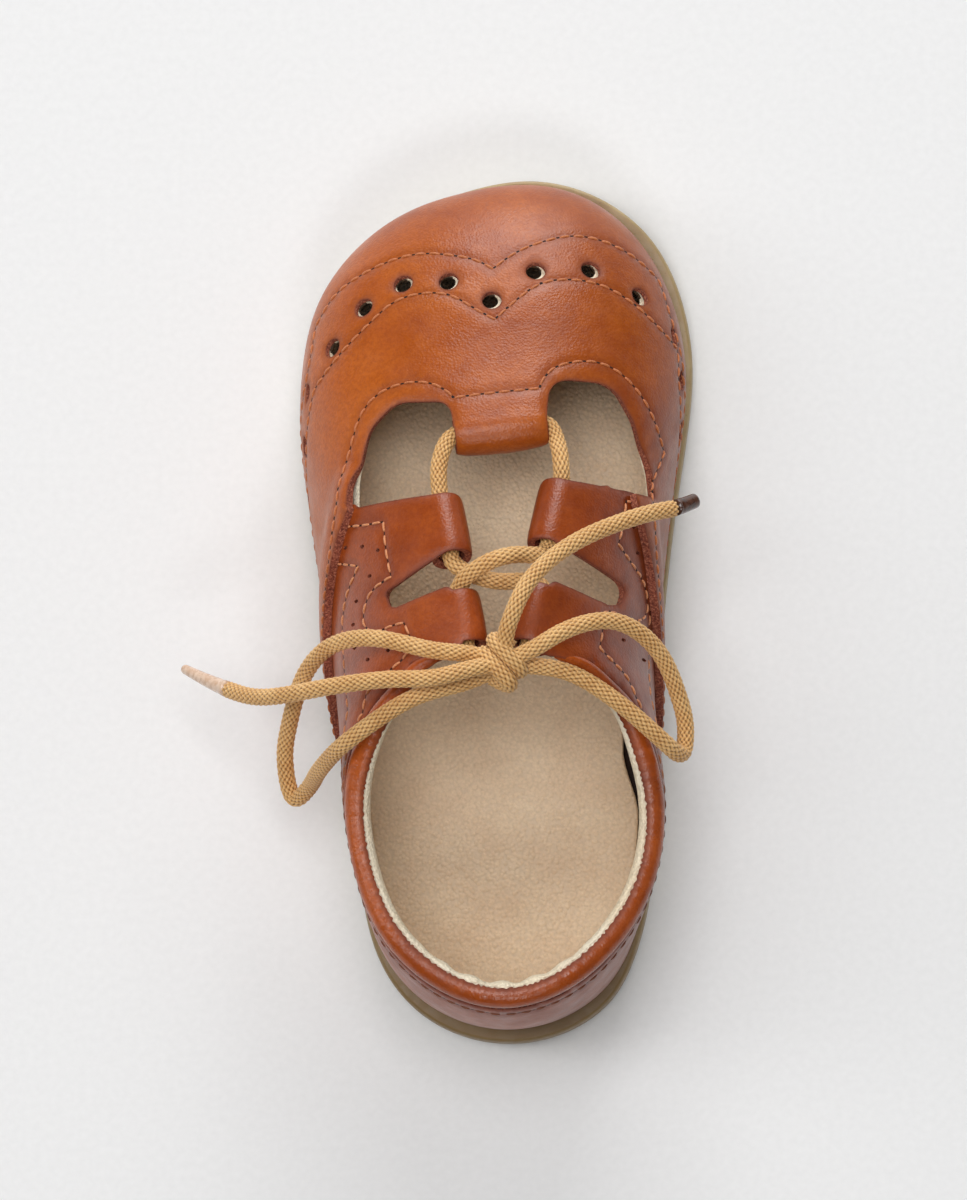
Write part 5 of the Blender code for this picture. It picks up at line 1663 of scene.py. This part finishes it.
def add_braid(name, route, node, looks):
    """A braided cord along a route."""
    path = smooth_route(route, PLAIT / 8)
    sides, others = frames_along(path)
    length = lengths(path)
    turns = np.arange(BRAID_SIDES) / BRAID_SIDES
    shape = bmesh.new()
    plait = shape.verts.layers.float.new("plait")
    rings = []
    for i, point in enumerate(path):
        relief = braid_height(turns, length[i])
        radius = LACE / 2 - BRAID_CORE + BRAID_RELIEF * relief
        ring = []
        for turn, r, height in zip(turns * 2 * math.pi, radius, relief):
            vert = shape.verts.new(point + r * (math.cos(turn) * sides[i] + math.sin(turn) * others[i]))
            vert[plait] = height
            ring.append(vert)
        rings.append(ring)
    skin(shape, rings)
    obj = piece(name, shape, [looks["braid"]], node, "braided_lace")
    return obj, path


def tunnel(name, backwards=False):
    """Points along a fold's tunnel and a little out of each end."""
    ends = tunnel_axis(name)
    ends = ends[::-1] if backwards else ends
    along = (ends[1] - ends[0]) / np.linalg.norm(ends[1] - ends[0])
    return np.linspace(ends[0] - along * TUNNEL_LEAD, ends[1] + along * TUNNEL_LEAD, 5)


def lace_route():
    """The lace from the knot up one side's tunnels, through the bar, and down the other side to the knot."""
    return np.concatenate([
        [(-1.4, -12.6, 47.4)], tunnel("lower_left", backwards=True),
        [(-3.2, 1.6, 46.6), (0.4, 3.6, 47.4), (4.6, 4.6, 45.6)], tunnel("upper_right", backwards=True),
        [(10.7, 20.0, 36.6), (9.9, 24.2, 34.6)], tunnel("bar"), [(-8.1, 22.0, 36.0), (-8.6, 17.6, 37.4)],
        tunnel("upper_left"), [(-3.4, 1.9, 43.0), (1.6, 0.7, 42.6), (6.0, 0.6, 42.8)], tunnel("lower_right"),
        [(4.6, -12.8, 47.2)],
    ])


def knot_route():
    """The knot: the lace wrapped round the strands that meet in it."""
    axis = Vector((math.cos(KNOT_AXIS), math.sin(KNOT_AXIS), 0))
    across = Vector((axis.y, -axis.x, 0))
    points = []
    for turn in np.linspace(0, KNOT_WRAPS, 30 * KNOT_WRAPS):
        angle = (turn - 0.25) * 2 * math.pi
        lead = KNOT_LEAD * (turn - KNOT_WRAPS / 2)
        points.append(
            KNOT + axis * lead + across * KNOT_HALF_WIDTH * math.cos(angle)
            + Vector((0, 0, KNOT_HALF_HEIGHT * math.sin(angle)))
        )
    return points


def add_aglet(name, points, taper, look, node, slot):
    """A wrapped tip: a thin tube, rolled in a little at its end, with a crimp near its mouth."""
    path = smooth_route(points, 0.25)
    sides, others = frames_along(path)
    share = np.linspace(0, 1, len(path))
    radius = AGLET / 2 * (1 - taper * share - 0.05 * bell(share - 0.12, 0.03))
    radius *= np.sqrt(np.clip(1 - np.clip((share - 0.95) / 0.06, 0, 1) ** 2, 0.15, 1))
    turns = full_turn(AGLET_SIDES)
    shape = bmesh.new()
    rings = []
    for i, point in enumerate(path):
        lap = 1 + 0.035 * np.clip(1 - np.abs(turns - 1.0) / 0.5, 0, 1)
        spokes = np.cos(turns)[:, None] * sides[i] + np.sin(turns)[:, None] * others[i]
        rings.append([shape.verts.new(spot) for spot in point + spokes * (radius[i] * lap)[:, None]])
    skin(shape, rings)
    return piece(name, shape, [look], node, slot)


def add_laces(looks):
    """The lace and the bow. Each route runs on from its CAD solid's end into the knot."""
    heart = [tuple(KNOT + Vector(step)) for step in KNOT_HEART]
    add_braid("braided_lace", np.concatenate([heart[:1], lace_route(), heart[1:2]]), "lace", looks)
    knot, _ = add_braid("knot", knot_route(), "lace_knot", looks)
    left = add_aglet("tip_left", AGLET_LEFT, 0.42, looks["clear"], "aglet_left", "clear_aglet")
    right = add_aglet("tip_right", AGLET_RIGHT, 0.1, looks["brown"], "aglet_right", "brown_aglet")
    cords = (
        ("bow_left", heart[2:3] + BOW_LEFT + heart[3:4], "lace_bow_left", "knot", [knot]),
        ("bow_right", heart[4:5] + BOW_RIGHT + heart[5:6], "lace_bow_right", "object", []),
        ("end_left", heart[6:7] + END_LEFT, "lace_end_left", "fitting", [left]),
        ("end_right", heart[7:8] + END_RIGHT, "lace_end_right", "fitting", [right]),
    )
    for name, route, node, far_end, with_pieces in cords:
        cord, path = add_braid(name, route, node, looks)
        length = float(lengths(path)[-1]) * MM
        [tuple(point * MM) for point in path[::5]]
        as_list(with_pieces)


# The studio

def add_floor():
    bpy.ops.mesh.primitive_plane_add(size=6.0, location=(0, 0, 0))
    floor = bpy.context.object
    floor.name = "floor"
    look = Look("paper", (240, 240, 240), 0.9)
    grain = look.noise(1.2, 4.0)
    look.bumps((grain, 0.02))
    colour = look.ramp(grain, (0.3, (238, 238, 238)), (0.7, (242, 242, 242)))
    floor.data.materials.append(look.finish(colour=colour))


def add_light(row):
    lamp = bpy.data.lights.new(row.name, "AREA")
    lamp.shape = "RECTANGLE"
    lamp.size, lamp.size_y = row.width, row.height
    lamp.energy = row.power
    obj = bpy.data.objects.new(row.name, lamp)
    bpy.context.scene.collection.objects.link(obj)
    obj.location = (row.x, row.y, row.z)
    obj.rotation_euler = (LIGHT_AIM - obj.location).to_track_quat("-Z", "Y").to_euler()


def add_studio():
    add_floor()
    scene = bpy.context.scene
    scene.view_settings.view_transform = "Standard"
    world = bpy.data.worlds.new("studio")
    scene.world = world
    world.use_nodes = True
    backdrop = world.node_tree.nodes["Background"]
    backdrop.inputs["Color"].default_value = (1, 1, 1, 1)
    backdrop.inputs["Strength"].default_value = DAYLIGHT
    for row in LIGHTS:
        add_light(row)


def add_camera():
    """The photograph's view: from above and a little behind, with the toe at the top of the picture."""
    lens = bpy.data.cameras.new("camera")
    lens.sensor_fit = "VERTICAL"
    lens.sensor_height = 24.0
    lens.lens = LENS
    camera = bpy.data.objects.new("camera", lens)
    bpy.context.scene.collection.objects.link(camera)
    ahead = (CAMERA_AIM - CAMERA).normalized()
    right = ahead.cross(Vector((0, 1, 0))).normalized()
    turn = Matrix((right, right.cross(ahead), -ahead)).transposed().to_4x4()
    camera.matrix_world = Matrix.Translation(CAMERA * MM) @ turn
    bpy.context.scene.camera = camera


def main():
    looks = {
        "cognac": leather_look("cognac_calf", (185, 95, 24), (167, 78, 12), (140, 57, 6), 0.36, 0.7),
        "strap": leather_look("strap_calf", (170, 80, 24), (150, 64, 14), (122, 46, 8), 0.36, 0.8),
        "collar": leather_look("collar_calf", (182, 89, 31), (162, 73, 19), (134, 55, 10), 0.3, 0.3),
        "edge": edge_look(),
        "lining": lining_look("cream_lining", (254, 244, 220), (246, 228, 196), 0.5),
        # Painted shade for the lining inside the toe.
        "inside": lining_look("toe_lining_painted_shade", (104, 80, 56), (76, 56, 38), 0.6),
        "sock": lining_look("sock", (252, 226, 193), (242, 211, 177), 0.65, SOCK_PAINTED_SHADE),
        "rubber": rubber_look(),
        "braid": braid_look(),
        "vamp_thread": thread_look("vamp_thread", (208, 126, 72), (172, 92, 46)),
        "strap_thread": thread_look("strap_thread", (228, 158, 108), (188, 110, 64)),
        "hole": hole_shade_look(),
        "clear": aglet_look("clear_wrap", (228, 200, 176), (206, 168, 138)),
        "brown": aglet_look("brown_wrap", (84, 46, 26), (52, 27, 16)),
    }
    add_studio()
    add_camera()
    add_laces(looks)
    add_upper(looks)
    add_collar(looks)
    add_outsole(looks)
    add_insole(looks)


main()
